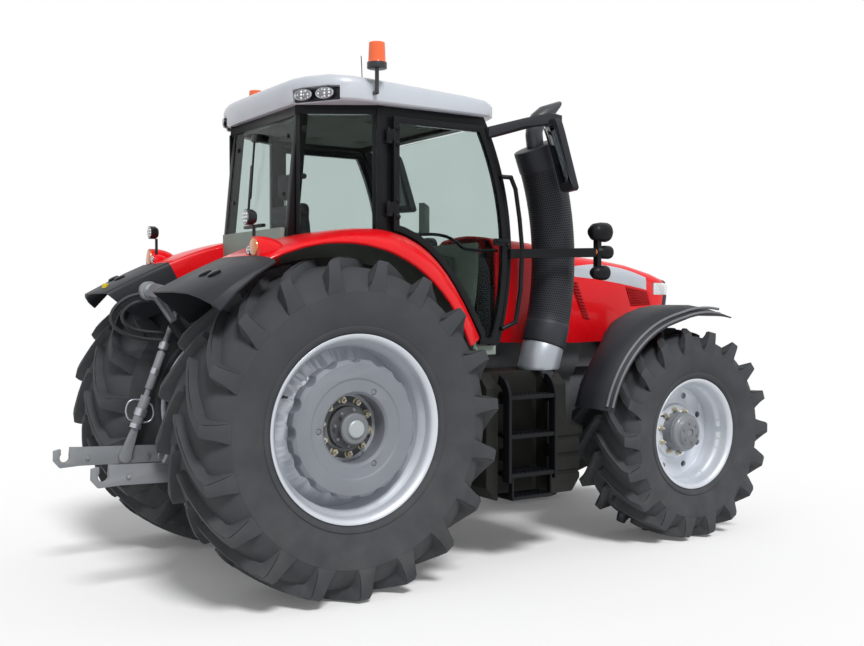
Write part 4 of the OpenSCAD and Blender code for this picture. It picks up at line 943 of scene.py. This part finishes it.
# points along a smooth line through the given ones
def smoothLine(points, cuts=3):
    pts = [Vector(p) for p in points]
    pts = [2 * pts[0] - pts[1]] + pts + [2 * pts[-1] - pts[-2]]
    out = []
    for a, b, c, d in zip(pts, pts[1:], pts[2:], pts[3:]):
        for i in range(cuts):
            t = i / cuts
            out.append(0.5 * (2 * b + (c - a) * t + (2 * a - 5 * b + 4 * c - d) * t * t
                    + (3 * b - a - 3 * c + d) * t ** 3))
    return out + [pts[-2]]


def evaluated(obj):
    return obj.evaluated_get(bpy.context.evaluated_depsgraph_get())


for i, run in enumerate(hose["runs"]):
    line = [(p.x + rearAxleX, p.y, p.z) for p in smoothLine(run)]
    data, points = newCurve("hoseLine", "POLY", len(line), hose["diameter"] / 2, 4)
    for p, co in zip(points, line):
        p.co = (*co, 1)
    helper = linked("hoseLine", data)
    bpy.context.view_layer.update()
    mesh = bpy.data.meshes.new_from_object(evaluated(helper))
    bpy.data.objects.remove(helper)
    mesh.materials.clear()
    mesh.materials.append(finish["hoseRubber"])
    smooth(mesh)
    tube = linked("liftHose%d" % (i + 1), mesh)
    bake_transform(tube, "lift_arms", "lift_rods", start=line[0], end=line[-1])
print("hoses made")

rod = dict(y=0.387, topX=-0.494, topZ=1.774, slope=0.387 / 1.041, lean=20.4, bore=0.017, handleR=0.006,
    collars=[(1.46, 0.033, 0.05), (1.29, 0.03, 0.04), (1.02, 0.04, 0.05), (0.93, 0.038, 0.03)],
    handles=dict(
        Rear=[(-0.772, 1.105), (-0.842, 1.1), (-0.866, 1.065), (-0.866, 1.005), (-0.842, 0.972), (-0.795, 0.966)],
        Front=[(-0.742, 1.075), (-0.706, 1.072), (-0.69, 1.045), (-0.69, 0.985), (-0.712, 0.958), (-0.786, 0.95)]))
rings = [(addTurned, [(rod["bore"], -h / 2), (r, -h / 2), (r, h / 2), (rod["bore"], h / 2)],
        [(rod["topX"] - (rod["topZ"] - z) * rod["slope"], rod["y"], z, 90, rod["lean"])], 28)
    for z, r, h in rod["collars"]]
linkBolts = [(addHex, (r, 0.014), [(x, 0.45, z, 0, 0, 0), (x, 0.41, z, 0, 0, 180)]) for x, z, r in (
        (-0.831, 0.733, 0.02), (-0.716, 0.722, 0.017), (-0.633, 0.716, 0.02), (-1.12, 0.742, 0.014))]
armPins = [(addCap, [(0.05, 0), (0.05, 0.006), (0.044, 0.01)], [(-0.728, 0.364, 1.832, 0, 0, 0)], 32),
    (addHex, (0.026, 0.02), [(-0.728, 0.374, 1.832, 0, 0, 0)]),
    (addCap, [(0.06, 0), (0.06, 0.006), (0.052, 0.012)], [(-0.29, 0.364, 1.712, 0, 0, 0)], 36)]
for side, word in sides:
    for tag, run in rod["handles"].items():
        addWire("turnHandle" + tag + word, [(x, side * rod["y"], z) for x, z in run], rod["handleR"], "steelPlain",
            "lift_rods")
    makeSet("rodCollars" + word, "steelPlain", rings, "lift_rods", [side])
    makeSet("linkBolts" + word, "steelPlain", linkBolts, "lower_links", [side])
    makeSet("armPins" + word, "steelPlain", armPins, "lift_arms", [side])

# coupler bank on the gear case
bank = dict(block=(addBlock, (0.13, 0.4, 0.096), [(-0.315, 0, 1.852)], 0.01, 3),
    caps=(addCap, [(0.03, -0.004), (0.03, 0.03), (0.024, 0.036), (0.024, 0.06), (0.02, 0.066)],
        [(-0.38, y, 1.852, 0, 0, 90) for y in (-0.152, -0.076, 0, 0.076, 0.152)], 28))
makeSet("couplerBank", "castGrey", [bank["block"]])
makeSet("couplerCaps", "mouldedBlack", [bank["caps"]])

# plugs and covers on the fender ends
cover = dict(caps=(addCap, [(0.04, -0.004), (0.04, 0.008), (0.032, 0.014), (0.012, 0.016)],
        [(-0.78, 0.8, 1.92, 90, -27), (-0.78, 0.94, 1.918, 90, -27)], 30),
    plug=(addCap, [(0.022, -0.006), (0.022, 0.02), (0.016, 0.026)], [(-0.905, 0.72, 1.858, 90)], 24))
makeSet("fenderCovers", "frameBlack", [cover["caps"]], on=[-1, 1])
makeSet("trailerPlug", "yellowPlug", [cover["plug"]])
print("hitch details made")


# seat: a bellows base and three stuffed pads, as size, place, rounding and fill

seat = dict(cushion=((0.47, 0.47, 0.1), (0.37, 0, 1.852), 0.035, 0.7),
    back=((0.085, 0.45, 0.5), (0.168, 0, 2.185, 0, -6.5), 0.03, 0.7),
    head=((0.06, 0.25, 0.18), (0.136, 0, 2.54, 0, -4), 0.022, 0.8),
    voxel=0.011, cap=0.016, pressure=4, frames=20,
    folds=[(addBlock, size, [(0.37, 0, 1.487 + i * 0.046) for i in range(first, 7, 2)], 0.008)
        for first, size in ((0, (0.358, 0.378, 0.048)), (1, (0.34, 0.36, 0.048)))],
    posts=[(addCap, [(0.008, -0.05), (0.008, 0.05)], [(0.14, -0.06, 2.45, 90), (0.14, 0.06, 2.45, 90)], 14)])


def makePad(name, size, at, edge, fill):
    bm = bmesh.new()
    addBlock(bm, size, Matrix.Identity(4), edge, 4)
    bmesh.ops.transform(bm, matrix=spot(*at), verts=bm.verts)
    obj = makePiece(name, bm, "seatCloth", sharp=80)
    remesh = obj.modifiers.new("even", "REMESH")
    remesh.mode = "VOXEL"
    remesh.voxel_size = seat["voxel"]
    bpy.context.view_layer.update()
    even = bpy.data.meshes.new_from_object(evaluated(obj))
    obj.modifiers.clear()
    obj.data = even
    start = [v.co.copy() for v in even.vertices]
    cloth = obj.modifiers.new("stuffing", "CLOTH")
    cloth.settings.use_pressure = True
    cloth.settings.uniform_pressure_force = seat["pressure"]
    cloth.settings.effector_weights.gravity = 0
    cloth.point_cache.frame_start = 1
    cloth.point_cache.frame_end = seat["frames"]
    for f in range(1, seat["frames"] + 1):
        scene.frame_set(f)
    swollen = [v.co.copy() for v in evaluated(obj).to_mesh().vertices]
    obj.modifiers.clear()
    scene.frame_set(1)
    for v, a, b in zip(even.vertices, start, swollen):
        move = b - a
        v.co = a + (move if move.length < seat["cap"] else move.normalized() * seat["cap"])
    smooth(even)
    fine = obj.modifiers.new("fine", "SUBSURF")
    fine.levels = fine.render_levels = 1
    return obj


cushion = makePad("seatCushion", *seat["cushion"])
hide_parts("seat")
makePad("seatBack", *seat["back"])
makePad("headRest", *seat["head"])
makeSet("seatBellows", "mouldedBlack", seat["folds"])
makeSet("headPosts", "steelPlain", seat["posts"])
print("seat made")


# cab: roof lining with vents, antenna, tread on the steps and tank caps

cab = dict(lining=[(addBlock, (0.7, 1.44, 0.03), [(0.75, 0, 2.978)], 0.012, 3),
        (addBlock, (0.4, 0.96, 0.03), [(0.21, 0, 2.977)], 0.012, 3),
        (addTurned, [(0.03, 0), (0.055, 0), (0.055, 0.012), (0.03, 0.008)],
        [(x, y, 2.963, -90) for x in (0.55, 0.95) for y in (-0.42, 0.42)], 28)],
    antenna=[(0.373, -0.6, 3.13), (0.369, -0.6, 3.2), (0.366, -0.6, 3.28), (0.362, -0.6, 3.345)], antennaR=0.003,
    tread=[(addBlock, (0.022, 0.075, 0.006),
        [(1.268 + i * 0.038, 1.008, z) for z in (0.618, 0.878, 1.138, 0.464) for i in range(9)], 0.002, 1)],
    tankCap=[(addCap, [(0.055, -0.012), (0.055, 0.018), (0.048, 0.026), (0.02, 0.028)],
        [(1.69, 0.862, 1.262, 45, 0, 0)], 36)])
makeSet("roofLining", "linerGrey", cab["lining"])
addWire("antenna", cab["antenna"], cab["antennaR"], "frameBlack")
makeSet("stepTread", "frameBlack", cab["tread"], on=[1, -1])
makeSet("tankCaps", "mouldedBlack", cab["tankCap"], on=[1, -1])
print("cab and step details made")


# inner walls that the rear fenders and their extensions roll down into, beside the lift

wall = dict(arch=[(0.3, 2.22), (-0.1, 2.22), (-0.45, 2.1), (-0.98, 1.82)], hub=(0, 1.015, 0),
    thick=0.006, steps=101, every=3,
    roll=[(0.004, 0.476), (0.012, 0.468), (0.032, 0.463), (0.1, 0.461), (0.2, 0.46), (0.3, 0.459)],
    pieces=[("fenderWalls", 37, 70, "redPaint", "red_paint"),
        ("extensionWalls", 70, 100, "mouldedBlack", "black_plastic")])
archLine = interpolate_bezier(*[Vector((x, z, 0)) for x, z in wall["arch"]], wall["steps"])
for name, first, last, mat, slot in wall["pieces"]:
    bm = bmesh.new()
    for side in (1, -1):
        rows = []
        for p in archLine[first:last + 1:wall["every"]]:
            inward = (Vector(wall["hub"]) - p).normalized()
            chain = [bm.verts.new((p.x + inward.x * d, side * y, p.y + inward.y * d)) for d, y in wall["roll"]]
            rows.append([bm.edges.new(pair) for pair in zip(chain, chain[1:])])
        for a, b in zip(rows, rows[1:]):
            bmesh.ops.bridge_loops(bm, edges=a + b)
    bmesh.ops.recalc_face_normals(bm, faces=bm.faces)
    bmesh.ops.solidify(bm, geom=bm.faces[:], thickness=wall["thick"])
    bmesh.ops.transform(bm, matrix=spot(0, 0, 0), verts=bm.verts)
    makePiece(name, bm, mat)
print("fender walls made")
